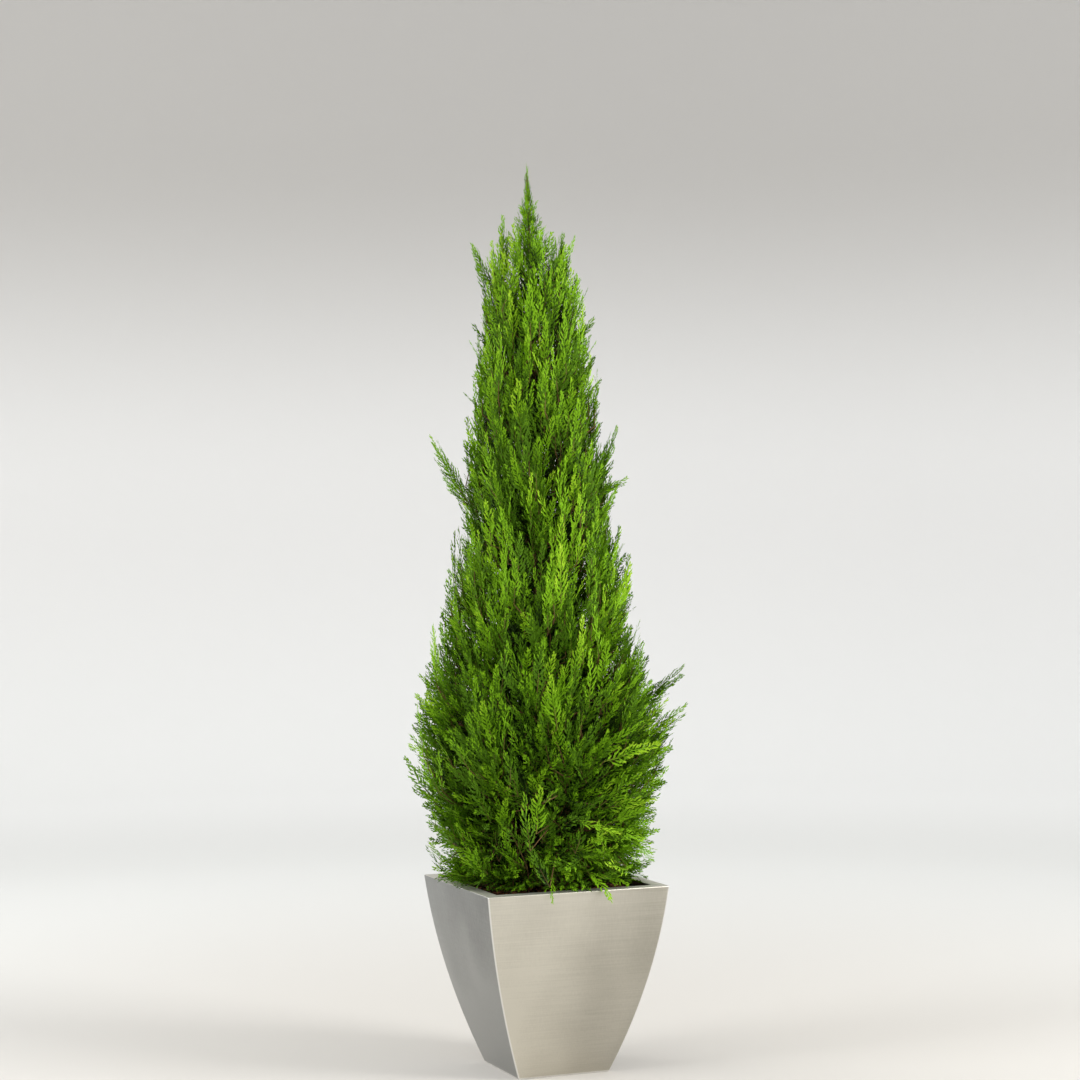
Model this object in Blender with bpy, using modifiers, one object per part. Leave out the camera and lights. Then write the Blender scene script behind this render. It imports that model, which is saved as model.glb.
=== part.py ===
"""Potted conical conifer: an unclipped, feathery evergreen in a square tapered steel planter.

Metres, +Z up. The origin is the middle of the planter's flat underside, and its sides face X and Y.
Tiers of boughs leave the trunk all round. A foliage mass grows on from each bough, or from the trunk
itself higher up: one stem with a small core round it, twigs that branch by a seeded rule, and sprays.
"""
import math
import random
from collections import namedtuple

import bmesh
import bpy
import numpy as np
from mathutils import Matrix, Vector
from mathutils.bvhtree import BVHTree

COLLECTION = "potted_conifer"
CUTTERS = "cutters"
GAP = 0.0003  # between pieces that touch

# Planter: folded sheet, square in plan, its sides curving in to a small foot
POT_TOP = 0.400
POT_FOOT = 0.203
POT_HEIGHT = 0.394
POT_BELLY = 0.56  # 0 is a straight taper, 1 curves in only towards the foot
POT_STEPS = 8
RIM_WIDTH = 0.0295
RIM_LIP = 0.010
SHEET = 0.002
FOLD_RADIUS = 0.0035
FOLD_ANGLE = math.radians(35.0)  # edges sharper than this are folds

# Soil, mounded a little towards the trunk
SOIL_BELOW_RIM = 0.022
MOUND_BELOW_RIM = 0.008
MOUND_HALF = 0.055
MOUND_TOP = POT_HEIGHT - MOUND_BELOW_RIM

# Trunk
TRUNK_TOP = 1.735
TRUNK_RADIUS = 0.021
TRUNK_TIP_RADIUS = 0.0026
FLARE_RADIUS = 0.034
FLARE_HEIGHT = 0.045
FLARE_STATIONS = (0.0, 0.15, 0.4, 1.0)
TRUNK_STEPS = 11
LEAN = 0.019  # how far the tip stands from the planter's axis
LEAN_TOWARDS = math.radians(158.6)
SWAY = 0.005

# Crown: (height, radius) up its outline, and (height, degrees) for how far a spray leans from upright
CROWN_TOP = 1.905
CROWN = (
    (0.412, 0.105), (0.414, 0.178), (0.432, 0.205), (0.500, 0.232), (0.600, 0.258), (0.700, 0.276),
    (0.780, 0.264), (0.860, 0.232), (0.950, 0.206), (1.110, 0.170), (1.300, 0.148), (1.500, 0.120),
    (1.660, 0.100), (1.735, 0.080), (1.770, 0.036),
)
SPRAY_LEAN = (
    (0.41, 104.0), (0.43, 88.0), (0.47, 62.0), (0.60, 47.0), (0.75, 37.0), (0.90, 24.0), (1.05, 16.0),
    (1.75, 11.0),
)

# Tiers of limbs: how many, height on the trunk, height of the tip, first azimuth in degrees, radius at
# the trunk, and whether its first part is a bough in its own right
Tier = namedtuple("Tier", "count foot tip first radius has_boughs")
TIERS = (
    Tier(7, 0.412, 0.545, 18.0, 0.0085, True),
    Tier(7, 0.480, 0.725, 42.0, 0.0080, True),
    Tier(6, 0.630, 0.925, 8.0, 0.0075, True),
    Tier(5, 0.830, 1.160, 32.0, 0.0060, False),
    Tier(5, 1.060, 1.395, 68.0, 0.0050, False),
    Tier(4, 1.310, 1.660, 73.0, 0.0040, False),
)
HEIGHT_JITTER = 0.018
AZIMUTH_JITTER = 6.0
BRANCH_ANGLE = math.radians(52.0)  # from the trunk
BEND_REACH = 0.95  # where a limb turns up, as a share of how far out its tip is
STEM_REACH = 0.56  # how far out a limb's tip is, as a share of the crown's radius there
STEM_TIP_RADIUS = 0.0016
BOUGH_SHARE = 0.34  # of a limb's way from the trunk to its tip
STRAIGHT_SHARE = 0.01  # of that way, on each side of the gap between a bough and its stem
LEADER_BELOW_TOP = 0.018
ROOTING_POINTS = 14  # along a stem, where twigs may leave it
CORE_SHARES = (0.45, 0.90)  # where along its limb a mass has its core
CORE_HALF_LENGTH = 0.62  # as a share of the way between those two points
CORE_TO_TRUNK = 0.80  # how far a core reaches, as a share of the room to the trunk
CORE_TO_NEIGHBOUR = 0.46  # and of the way to another limb

# Sprays: toothed blades, each the feathered end of a twig
SPRAYS = 326
SPRAY_LENGTH = 0.148
SPRAY_WIDTH = 0.058
SPRAY_THICKNESS = 0.0040
SPRAY_DEPTH = (0.90, 1.03)  # where the tips stand, as shares of the crown's radius
LEAN_SPREAD = 7.0  # degrees
LENGTH_SPREAD = 0.20
ROLL_SPREAD = 0.9
LEADER_SPRAYS = 15
LEADER_SPRAY_LENGTH = 0.050
LEADER_SPRAY_SCALE = 0.62
LEADER_SPRAY_ROLL = 0.5
LEADER_LEAN = (26.0, 10.0)  # degrees, at its foot and at its tip
LEADER_RADIUS = 0.029
LEADER_CLOSING = 0.8  # how sharply the leader's sprays close in to its tip
TWIG_ROOT_RADIUS = 0.0022
TWIG_TIP_RADIUS = 0.0013
TWIG_SHARE = 0.6  # of the radius of the limb that a twig leaves
TWIG_TAPER = 0.85  # at most, from its root to its blade
BLADE_MOST = 0.85  # of the way from root to tip that a blade may take up
SHORTEST_WAY = 0.6  # from root to tip, as a share of the spray's length
ANGLE_OFFSET = 0.35  # raises the weight of a short way against a true lean, in radians
TWIG_SPACING = 0.018  # between the points of a twig where another may leave it
ROOTS_TRIED = 6
ROLLS_TRIED = (0.0, 0.45, -0.45, 0.9, -0.9)
CLEARANCE = 0.0006  # from a spray to anything outside its own mass
SHORT_EDGE = 0.0010
GOLDEN_ANGLE = math.pi * (3.0 - math.sqrt(5.0))
SEED = 11

# One side of a blade: how far along it, and how far out as a share of its half width
TEETH = ((0.38, 1.0), (0.42, 0.42), (0.68, 0.70), (0.71, 0.26))
BLADE_MIDDLE = 0.28

# Whips that stand out past the rest: azimuth in degrees, tip height, tip radius, lean, length
WHIPS = (
    (158.6, 1.330, 0.222, 20.0, 0.170),
    (150.0, 1.245, 0.200, 22.0, 0.140),
    (-21.4, 1.345, 0.170, 10.0, 0.150),
    (-30.0, 1.240, 0.190, 16.0, 0.130),
    (158.6, 1.735, 0.122, 24.0, 0.100),
    (-170.0, 1.790, 0.066, 12.0, 0.090),
    (-21.4, 1.755, 0.072, 12.0, 0.090),
    (-14.0, 1.575, 0.132, 22.0, 0.120),
    (-25.0, 0.840, 0.302, 52.0, 0.150),
    (-18.0, 0.758, 0.308, 62.0, 0.150),
)
WHIP_SCALE = 0.80
WHIP_ROLL = 1.25

# Linear colour, roughness and metallic value
STEEL = ((0.47, 0.44, 0.38), 0.34, 1.0)
EARTH = ((0.045, 0.022, 0.014), 0.95, 0.0)
BARK = ((0.115, 0.062, 0.035), 0.90, 0.0)
GREENS = (
    ((0.045, 0.130, 0.010), 0.75, 0.0),
    ((0.060, 0.165, 0.013), 0.75, 0.0),
    ((0.078, 0.200, 0.016), 0.75, 0.0),
)

Tip = namedtuple("Tip", "azimuth height radius lean length scale roll")


# ---------------------------------------------------------------- scene, materials and meshes


def clear_scene():
    for obj in list(bpy.data.objects):
        bpy.data.objects.remove(obj, do_unlink=True)


def new_collection(name):
    collection = bpy.data.collections.new(name)
    bpy.context.scene.collection.children.link(collection)
    return collection


def material(name, look):
    colour, roughness, metallic = look
    made = bpy.data.materials.new(name)
    made.use_nodes = True
    shader = made.node_tree.nodes["Principled BSDF"]
    shader.inputs["Base Color"].default_value = (*colour, 1.0)
    shader.inputs["Roughness"].default_value = roughness
    shader.inputs["Metallic"].default_value = metallic
    made.diffuse_color = (*colour, 1.0)
    return made


def add_object(name, mesh, collection, look=None):
    obj = bpy.data.objects.new(name, mesh)
    collection.objects.link(obj)
    if look is not None:
        mesh.materials.clear()
        mesh.materials.append(look)
    return obj


def evaluated_mesh(obj):
    """A copy of the object's mesh with its modifiers or its curve worked out, and its caps welded."""
    bpy.context.view_layer.update()
    depsgraph = bpy.context.evaluated_depsgraph_get()
    mesh = bpy.data.meshes.new_from_object(obj.evaluated_get(depsgraph))
    shape = bmesh.new()
    shape.from_mesh(mesh)
    bmesh.ops.remove_doubles(shape, verts=shape.verts, dist=1e-6)
    shape.to_mesh(mesh)
    shape.free()
    return mesh


def search_tree(mesh, placing):
    points = [placing @ vert.co for vert in mesh.vertices]
    return BVHTree.FromPolygons(points, [tuple(face.vertices) for face in mesh.polygons])


def search_tree_of(obj):
    """A search tree of the object as its modifiers leave it."""
    mesh = evaluated_mesh(obj)
    tree = search_tree(mesh, obj.matrix_world)
    bpy.data.meshes.remove(mesh)
    return tree


# ---------------------------------------------------------------- planter and soil


def pot_half(height):
    """Half the planter's outer width at a height."""
    down = 1.0 - height / POT_HEIGHT
    drawn_in = (1.0 - POT_BELLY) * down + POT_BELLY * down * down
    return (POT_TOP - (POT_TOP - POT_FOOT) * drawn_in) / 2.0


def screwed_square(name, profile, collection, look):
    """A square solid or sheet: a profile of (half width, height) points turned in four steps."""
    corner = math.sqrt(2.0)
    shape = bmesh.new()
    points = [shape.verts.new((half * corner, 0.0, height)) for half, height in profile]
    for upper, lower in zip(points, points[1:]):
        shape.edges.new((upper, lower))
    mesh = bpy.data.meshes.new(name)
    shape.to_mesh(mesh)
    shape.free()
    obj = add_object(name, mesh, collection, look)
    obj.rotation_euler.z = math.radians(45.0)
    screw = obj.modifiers.new("four sides", "SCREW")
    screw.steps = 4
    screw.render_steps = 4
    screw.use_merge_vertices = True
    screw.merge_threshold = 0.00001
    screw.use_smooth_shade = False
    return obj


def rounded_folds(obj, segments):
    bevel = obj.modifiers.new("rounded folds", "BEVEL")
    bevel.width = FOLD_RADIUS
    bevel.segments = segments
    bevel.limit_method = "ANGLE"
    bevel.angle_limit = FOLD_ANGLE


def make_planter(collection):
    rim_half = POT_TOP / 2.0 - RIM_WIDTH
    profile = [(rim_half, POT_HEIGHT - RIM_LIP), (rim_half, POT_HEIGHT)]
    for step in range(POT_STEPS + 1):
        height = POT_HEIGHT * (1.0 - step / POT_STEPS)
        profile.append((pot_half(height), height))
    profile.append((0.0, 0.0))
    planter = screwed_square("planter", profile, collection, material("brushed steel", STEEL))
    rounded_folds(planter, 2)
    sheet = planter.modifiers.new("sheet", "SOLIDIFY")
    sheet.thickness = SHEET
    sheet.offset = -1.0
    sheet.use_even_offset = True
    return planter


def soil_half(height):
    """Half the soil's width where it lies against the inside of the sheet."""
    sloping_sheet = 1.25 * SHEET
    return pot_half(height) - sloping_sheet - GAP


def make_soil(collection):
    edge_height = POT_HEIGHT - SOIL_BELOW_RIM
    floor_height = SHEET + 2.0 * GAP
    profile = [(0.0, MOUND_TOP), (MOUND_HALF, MOUND_TOP)]
    for step in range(POT_STEPS - 1):
        height = edge_height - (edge_height - floor_height) * step / (POT_STEPS - 1)
        profile.append((soil_half(height), height))
    profile.append((soil_half(floor_height) - FOLD_RADIUS, floor_height))
    profile.append((0.0, floor_height))
    soil = screwed_square("soil", profile, collection, material("soil", EARTH))
    rounded_folds(soil, 1)
    return soil


# ---------------------------------------------------------------- trunk and boughs


def radial(azimuth):
    return Vector((math.cos(azimuth), math.sin(azimuth), 0.0))


def trunk_axis(height):
    """The middle of the trunk, and of the crown above it, at a height."""
    up = (height - POT_HEIGHT) / (CROWN_TOP - POT_HEIGHT)
    along = LEAN * up * up + SWAY * math.sin(2.0 * math.pi * up) * (1.0 - up)
    across = SWAY * math.sin(3.0 * math.pi * up) * (1.0 - up)
    foot = Vector((0.0, 0.0, height))
    return foot + radial(LEAN_TOWARDS) * along + radial(LEAN_TOWARDS + math.pi / 2.0) * across


def trunk_radius(height):
    up = (height - MOUND_TOP) / (TRUNK_TOP - MOUND_TOP)
    flare = (FLARE_RADIUS - TRUNK_RADIUS) * max(0.0, 1.0 - (height - MOUND_TOP) / FLARE_HEIGHT) ** 2
    return TRUNK_RADIUS + (TRUNK_TIP_RADIUS - TRUNK_RADIUS) * up + flare


def tube(name, points, radii, resolution, collection, look):
    """A tapering limb with flat ends, as a mesh of 4 + 2 * resolution sides."""
    curve = bpy.data.curves.new(name, "CURVE")
    curve.dimensions = "3D"
    curve.bevel_depth = 1.0
    curve.bevel_resolution = resolution
    curve.use_fill_caps = True
    spline = curve.splines.new("POLY")
    spline.points.add(len(points) - 1)
    for place, point, radius in zip(spline.points, points, radii):
        place.co = (*point, 1.0)
        place.radius = radius
    guide = bpy.data.objects.new(name + " guide", curve)
    collection.objects.link(guide)
    mesh = evaluated_mesh(guide)
    bpy.data.objects.remove(guide)
    return add_object(name, mesh, collection, look)


def make_trunk(name, collection, look=None, extra=0.0):
    """The trunk from its flat cut on the soil, or a copy of it that is thicker by extra."""
    foot = MOUND_TOP + GAP
    heights = [foot + FLARE_HEIGHT * share for share in FLARE_STATIONS]
    flare_top = heights[-1]
    for step in range(TRUNK_STEPS):
        heights.append(flare_top + (TRUNK_TOP - flare_top) * (step + 1) / TRUNK_STEPS)
    points = [trunk_axis(height) for height in heights]
    points[0].xy = points[1].xy  # the first length stands upright, so that the cut is level
    radii = [trunk_radius(height) + extra for height in heights]
    return tube(name, points, radii, 3, collection, look)


def make_cutter(collection):
    cutter = make_trunk("trunk clearance", collection, extra=GAP)
    cutter.hide_render = True
    cutter.display_type = "WIRE"
    return cutter


class Limb:
    """A limb's curved path from inside the trunk to its tip, and the foliage mass that it carries."""

    def __init__(self, label, path, radius, has_bough):
        self.mass_name = "foliage_" + label
        self.bough_name = "bough_" + label if has_bough else None
        self.path = path
        self.base_radius = radius
        self.mass_start = BOUGH_SHARE if has_bough else 0.0
        shares = np.linspace(self.mass_start + 0.08, 0.97, ROOTING_POINTS)
        self.rootings = [(self.point(share), self.radius(share)) for share in shares]
        self.sprays = []

    def point(self, share):
        start, bend, end = self.path
        return start.lerp(bend, share).lerp(bend.lerp(end, share), share)

    def radius(self, share):
        return self.base_radius + (STEM_TIP_RADIUS - self.base_radius) * share

    def half_gap(self):
        """Half the gap between bough and stem, as a share of the path."""
        return GAP / 2.0 / (self.path[2] - self.path[0]).length

    def piece(self, name, shares, resolution, collection, look):
        points = [self.point(share) for share in shares]
        radii = [self.radius(share) for share in shares]
        return tube(name, points, radii, resolution, collection, look)

    def distance(self, point):
        return min((point - place).length for place, _ in self.rootings)


def crown_radius(height):
    heights, radii = zip(*CROWN)
    return float(np.interp(height, heights, radii))


def plan_limbs(rng):
    """Every tier's limbs, and last the leader, which stands on the trunk's tip."""
    limbs = []
    for level, tier in enumerate(TIERS, 1):
        for place in range(tier.count):
            turn = tier.first + 360.0 * place / tier.count + rng.uniform(-AZIMUTH_JITTER, AZIMUTH_JITTER)
            outward = radial(math.radians(turn))
            foot = tier.foot + rng.uniform(-HEIGHT_JITTER, HEIGHT_JITTER)
            top = tier.tip + rng.uniform(-HEIGHT_JITTER, HEIGHT_JITTER)
            reach = STEM_REACH * crown_radius(top)
            start = trunk_axis(foot)
            rise = Vector((0.0, 0.0, BEND_REACH * reach / math.tan(BRANCH_ANGLE)))
            path = (start, start + outward * BEND_REACH * reach + rise, trunk_axis(top) + outward * reach)
            limbs.append(Limb(f"{level}_{place + 1}", path, tier.radius, tier.has_boughs))
    start = trunk_axis(TRUNK_TOP + GAP)
    end = trunk_axis(CROWN_TOP - LEADER_BELOW_TOP)
    limbs.append(Limb("leader", (start, start.lerp(end, 0.5), end), TRUNK_TIP_RADIUS, False))
    return limbs


def cut_clear_of_trunk(obj, cutter):
    cut = obj.modifiers.new("clear of the trunk", "BOOLEAN")
    cut.operation = "DIFFERENCE"
    cut.object = cutter
    cut.solver = "EXACT"


def make_bough(limb, collection, look, cutter):
    """The limb from the trunk's side to where it enters its mass."""
    end = limb.mass_start - limb.half_gap()
    shares = [*np.linspace(0.0, end - STRAIGHT_SHARE, 3), end]
    bough = limb.piece(limb.bough_name, shares, 1, collection, look)
    cut_clear_of_trunk(bough, cutter)
    return bough


def make_stem(limb, collection, look):
    """The rest of the limb, from its bough's tip or the trunk, through the mass."""
    start = limb.mass_start + limb.half_gap() if limb.bough_name else 0.0
    shares = [start, *np.linspace(start + STRAIGHT_SHARE, 1.0, 5)]
    return limb.piece(limb.mass_name, shares, 0, collection, look)


# ---------------------------------------------------------------- cores


def core_mesh():
    shape = bmesh.new()
    bmesh.ops.create_uvsphere(shape, u_segments=6, v_segments=4, radius=1.0)
    mesh = bpy.data.meshes.new("core")
    shape.to_mesh(mesh)
    shape.free()
    return mesh


def core_placing(limb, limbs):
    """An ellipsoid along the limb, as wide as stays clear of the trunk and its neighbours' cores."""
    spine = [limb.point(share) for share in np.linspace(*CORE_SHARES, 7)]
    room = []
    for point in spine:
        room.append(CORE_TO_TRUNK * ((point - trunk_axis(point.z)).length - trunk_radius(point.z)))
        for other in limbs:
            if other is not limb:
                nearest = min((point - other.point(share)).length for share in np.linspace(0.0, 1.0, 20))
                room.append(CORE_TO_NEIGHBOUR * nearest)
    way = spine[-1] - spine[0]
    turn = way.to_track_quat("Z", "Y").to_matrix().to_4x4()
    sizes = (min(room), min(room), CORE_HALF_LENGTH * way.length)
    return Matrix.Translation(spine[len(spine) // 2]) @ turn @ Matrix.Diagonal((*sizes, 1.0))


# ---------------------------------------------------------------- twigs and sprays


def fan(hub, loop):
    return [(hub, here, there) for here, there in zip(loop, loop[1:] + loop[:1])]


class Spray:
    """A toothed blade on the straight twig that carries it, from its root on a limb to its tip."""

    def __init__(self, rooting, end, tip, roll):
        self.root, limb_radius = rooting
        self.end = end
        way = end - self.root
        self.along = way.normalized()
        self.length = min(tip.length, BLADE_MOST * way.length)
        self.twig = way.length - self.length
        level = radial(tip.azimuth + math.pi / 2.0)
        level = (level - self.along * level.dot(self.along)).normalized()
        across = Matrix.Rotation(roll, 3, self.along) @ level
        self.turn = Matrix((across, self.along, across.cross(self.along))).transposed()
        self.width = SPRAY_WIDTH * tip.scale * self.length / SPRAY_LENGTH
        self.thickness = SPRAY_THICKNESS * tip.scale
        self.root_radius = min(TWIG_ROOT_RADIUS * tip.scale, TWIG_SHARE * limb_radius)
        self.neck_radius = min(TWIG_TIP_RADIUS * tip.scale, TWIG_TAPER * self.root_radius)

    def shape(self, grow=0.0):
        """Its points and triangles: a three-sided twig that flattens into a blade."""
        half = self.width / 2.0 + grow
        points = []

        def add(across, along, out):
            points.append(self.root + self.turn @ Vector((across, along, out)))
            return len(points) - 1

        def ring(along, radius):
            corners = ((-radius, -0.5 * radius), (0.0, radius), (radius, -0.5 * radius))
            return [add(across, along, out) for across, out in corners]

        foot = ring(0.0, self.root_radius + grow)
        neck = ring(self.twig, self.neck_radius + grow)
        left = [add(-out * half, self.twig + along * self.length, 0.0) for along, out in TEETH]
        end = add(0.0, self.twig + self.length + grow, 0.0)
        right = [add(out * half, self.twig + along * self.length, 0.0) for along, out in TEETH]
        edge = [neck[0], *left, end, *reversed(right), neck[2]]
        middle = self.twig + BLADE_MIDDLE * self.length
        front = add(0.0, middle, self.thickness / 2.0 + grow)
        back = add(0.0, middle, -self.thickness / 2.0 - grow)
        faces = fan(front, [*edge, neck[1]]) + fan(back, edge[::-1])
        for near, far in ((0, 1), (1, 2), (2, 0)):
            faces.append((foot[near], foot[far], neck[far]))
            faces.append((foot[near], neck[far], neck[near]))
        faces.append(tuple(reversed(foot)))
        return points, faces

    def mesh(self):
        points, faces = self.shape()
        mesh = bpy.data.meshes.new("spray")
        mesh.from_pydata(points, [], faces)
        shape = bmesh.new()
        shape.from_mesh(mesh)
        bmesh.ops.recalc_face_normals(shape, faces=shape.faces)
        shape.to_mesh(mesh)
        shape.free()
        return mesh

    def rootings(self):
        """Places on its bare twig where another twig may leave it, each with the twig's radius."""
        count = int(self.twig / TWIG_SPACING)
        taper = self.neck_radius - self.root_radius
        found = []
        for step in range(count):
            share = (step + 1) / (count + 1)
            found.append((self.root + self.along * self.twig * share, self.root_radius + taper * share))
        return found


def crown_tips(rng):
    """A golden-angle spiral over the crown's outline, with an equal area to each tip, and the whips."""
    outline = np.array(CROWN)
    steps = np.hypot(*np.diff(outline, axis=0).T)
    bands = steps * (outline[1:, 1] + outline[:-1, 1]) / 2.0
    areas = np.concatenate(([0.0], np.cumsum(bands)))
    tips = []
    for place in range(SPRAYS):
        share = (place + 0.5) / SPRAYS * areas[-1]
        height, radius = (float(np.interp(share, areas, side)) for side in outline.T)
        lean = float(np.interp(height, *zip(*SPRAY_LEAN))) + rng.gauss(0.0, LEAN_SPREAD)
        tips.append(Tip(
            azimuth=place * GOLDEN_ANGLE,
            height=height,
            radius=radius * rng.uniform(*SPRAY_DEPTH),
            lean=math.radians(lean),
            length=SPRAY_LENGTH * rng.uniform(1.0 - LENGTH_SPREAD, 1.0 + LENGTH_SPREAD),
            scale=1.0,
            roll=rng.uniform(-ROLL_SPREAD, ROLL_SPREAD),
        ))
    for azimuth, height, radius, lean, length in WHIPS:
        angles = math.radians(azimuth), math.radians(lean)
        tips.append(Tip(angles[0], height, radius, angles[1], length, WHIP_SCALE, WHIP_ROLL))
    return tips


def leader_tips():
    """Small sprays up the leader, closing in to the crown's top."""
    tips = [Tip(0.0, CROWN_TOP, 0.0, 0.0, 0.8 * LEADER_SPRAY_LENGTH, 0.8 * LEADER_SPRAY_SCALE, 0.0)]
    foot = TRUNK_TOP + 0.9 * LEADER_SPRAY_LENGTH
    lean_at_foot, lean_at_tip = LEADER_LEAN
    for place in range(LEADER_SPRAYS):
        up = (place + 0.5) / LEADER_SPRAYS
        tips.append(Tip(
            azimuth=place * GOLDEN_ANGLE,
            height=foot + (CROWN_TOP - foot) * up,
            radius=LEADER_RADIUS * (1.0 - up) ** LEADER_CLOSING,
            lean=math.radians(lean_at_foot + (lean_at_tip - lean_at_foot) * up),
            length=LEADER_SPRAY_LENGTH * (1.15 - 0.45 * up),
            scale=LEADER_SPRAY_SCALE,
            roll=LEADER_SPRAY_ROLL * (-1) ** place,
        ))
    return tips


def aim(tip):
    return radial(tip.azimuth) * math.sin(tip.lean) + Vector((0.0, 0.0, math.cos(tip.lean)))


def best_rootings(limb, tip, end):
    """Where on the limb a twig to this end may start, best first: short, and near the tip's own lean."""
    ranked = []
    for rooting in limb.rootings:
        way = end - rooting[0]
        if way.length > SHORTEST_WAY * tip.length:
            ranked.append((way.length * (ANGLE_OFFSET + way.angle(aim(tip))), rooting))
    ranked.sort(key=lambda option: option[0])
    return [rooting for _, rooting in ranked[:ROOTS_TRIED]]


class Crown:
    """Places sprays one at a time, and leaves out any that would touch a limb or another mass."""

    def __init__(self, solids):
        self.solids = solids
        self.placed = []

    def neighbours(self, spray):
        middle = spray.root.lerp(spray.end, 0.5)
        reach = (spray.end - spray.root).length / 2.0 + SPRAY_WIDTH
        return [item for item in self.placed if (item[1] - middle).length < item[2] + reach]

    def choices(self, limb, tip, end):
        """Ways to place the spray, those that cross the fewest sprays of its own mass first."""
        found = []
        for rank, rooting in enumerate(best_rootings(limb, tip, end)):
            for turned in ROLLS_TRIED:
                spray = Spray(rooting, end, tip, tip.roll + turned)
                tree = BVHTree.FromPolygons(*spray.shape(CLEARANCE))
                near = self.neighbours(spray)
                crossed = sum(1 for owner, *_, other in near if owner is limb and tree.overlap(other))
                found.append((crossed, rank, abs(turned), spray, tree, near))
        return sorted(found, key=lambda choice: choice[:3])

    def place(self, limb, tip):
        end = trunk_axis(tip.height) + radial(tip.azimuth) * tip.radius
        for *_, spray, tree, near in self.choices(limb, tip, end):
            solids = [other for owner, other in self.solids if owner is not limb]
            solids += [other for owner, *_, other in near if owner is not limb]
            if any(tree.overlap(other) for other in solids):
                continue
            middle = spray.root.lerp(spray.end, 0.5)
            self.placed.append((limb, middle, (spray.end - spray.root).length / 2.0, tree))
            limb.sprays.append(spray)
            limb.rootings.extend(spray.rootings())
            return


# ---------------------------------------------------------------- fusing a mass


def fuse(obj, pieces, cutter):
    """Joins the pieces to the stem by one union, and keeps its one outer skin."""
    look = obj.data.materials[0]
    joined = new_collection(obj.name + " pieces")
    for mesh, placing in pieces:
        piece = bpy.data.objects.new("piece", mesh)
        piece.matrix_world = placing
        joined.objects.link(piece)
    if cutter is not None:
        cut_clear_of_trunk(obj, cutter)
    union = obj.modifiers.new("fused", "BOOLEAN")
    union.operation = "UNION"
    union.operand_type = "COLLECTION"
    union.collection = joined
    union.solver = "MANIFOLD"
    skin = evaluated_mesh(obj)
    keep_outer_skin(skin)
    obj.modifiers.clear()
    obj.data = skin
    skin.materials.clear()
    skin.materials.append(look)
    for piece in list(joined.objects):
        bpy.data.objects.remove(piece)
    bpy.data.collections.remove(joined)


def keep_outer_skin(mesh):
    """Drops loose scraps and the walls of sealed hollows, which fills them, and tidies the faces."""
    shape = bmesh.new()
    shape.from_mesh(mesh)
    waiting = set(shape.faces)
    skins = []
    for face in shape.faces:
        if face not in waiting:
            continue
        waiting.remove(face)
        skin = [face]
        for member in skin:
            for edge in member.edges:
                fresh = [near for near in edge.link_faces if near in waiting]
                waiting.difference_update(fresh)
                skin.extend(fresh)
        skins.append(skin)
    skins.sort(key=len)
    for skin in skins[:-1]:
        bmesh.ops.delete(shape, geom=skin, context="FACES")
    bmesh.ops.dissolve_limit(shape, angle_limit=0.002, verts=shape.verts, edges=shape.edges)
    bmesh.ops.triangulate(shape, faces=shape.faces)
    close_short_edges(shape)
    shape.to_mesh(mesh)
    shape.free()


def close_short_edges(shape):
    """Closes the tiny edges that a union leaves, where that can't pinch the skin."""
    waiting = [edge for edge in shape.edges if edge.calc_length() < SHORT_EDGE]
    while waiting:
        edge = waiting.pop()
        if not edge.is_valid or edge.calc_length() >= SHORT_EDGE:
            continue
        first, second = edge.verts
        around_first = {other.other_vert(first) for other in first.link_edges}
        around_second = {other.other_vert(second) for other in second.link_edges}
        if len(around_first & around_second) == 2:
            bmesh.ops.collapse(shape, edges=[edge])


# ---------------------------------------------------------------- the whole plant


def main():
    clear_scene()
    parts = new_collection(COLLECTION)
    cutter = make_cutter(new_collection(CUTTERS))
    bark = material("bark", BARK)
    greens = [material(f"foliage {shade}", look) for shade, look in enumerate(GREENS, 1)]
    rng = random.Random(SEED)

    pieces = [make_planter(parts), make_soil(parts), make_trunk("trunk", parts, bark)]
    limbs = plan_limbs(rng)
    pieces += [make_bough(limb, parts, bark, cutter) for limb in limbs if limb.bough_name]
    solids = [(None, search_tree_of(piece)) for piece in pieces]

    leader = limbs[-1]
    core = core_mesh()
    stems = [make_stem(limb, parts, greens[at % len(greens)]) for at, limb in enumerate(limbs)]
    cores = [(core, core_placing(limb, limbs)) for limb in limbs[:-1]]
    solids += [(limb, search_tree_of(stem)) for limb, stem in zip(limbs, stems)]
    solids += [(limb, search_tree(*placed)) for limb, placed in zip(limbs, cores)]

    crown = Crown(solids)
    for tip in leader_tips():
        crown.place(leader, tip)
    for tip in crown_tips(rng):
        middle = trunk_axis(tip.height) + radial(tip.azimuth) * tip.radius - aim(tip) * tip.length
        crown.place(min(limbs[:-1], key=lambda limb: limb.distance(middle)), tip)

    for limb, stem, placed in zip(limbs, stems, [*cores, None]):
        fused = [(spray.mesh(), Matrix()) for spray in limb.sprays]
        fused += [placed] if placed else []
        meets_trunk = limb.bough_name is None and limb is not leader
        fuse(stem, fused, cutter if meets_trunk else None)


main()
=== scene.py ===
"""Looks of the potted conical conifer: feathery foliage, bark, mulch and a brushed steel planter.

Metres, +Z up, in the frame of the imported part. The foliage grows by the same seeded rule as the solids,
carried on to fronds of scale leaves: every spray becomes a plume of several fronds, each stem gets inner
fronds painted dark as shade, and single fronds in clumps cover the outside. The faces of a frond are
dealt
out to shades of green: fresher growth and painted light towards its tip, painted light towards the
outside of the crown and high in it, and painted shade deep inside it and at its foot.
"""
import math
import random
from collections import namedtuple

import bpy
import numpy as np
from mathutils import Matrix, Vector, noise
from mathutils.bvhtree import BVHTree
from mathutils.kdtree import KDTree


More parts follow.
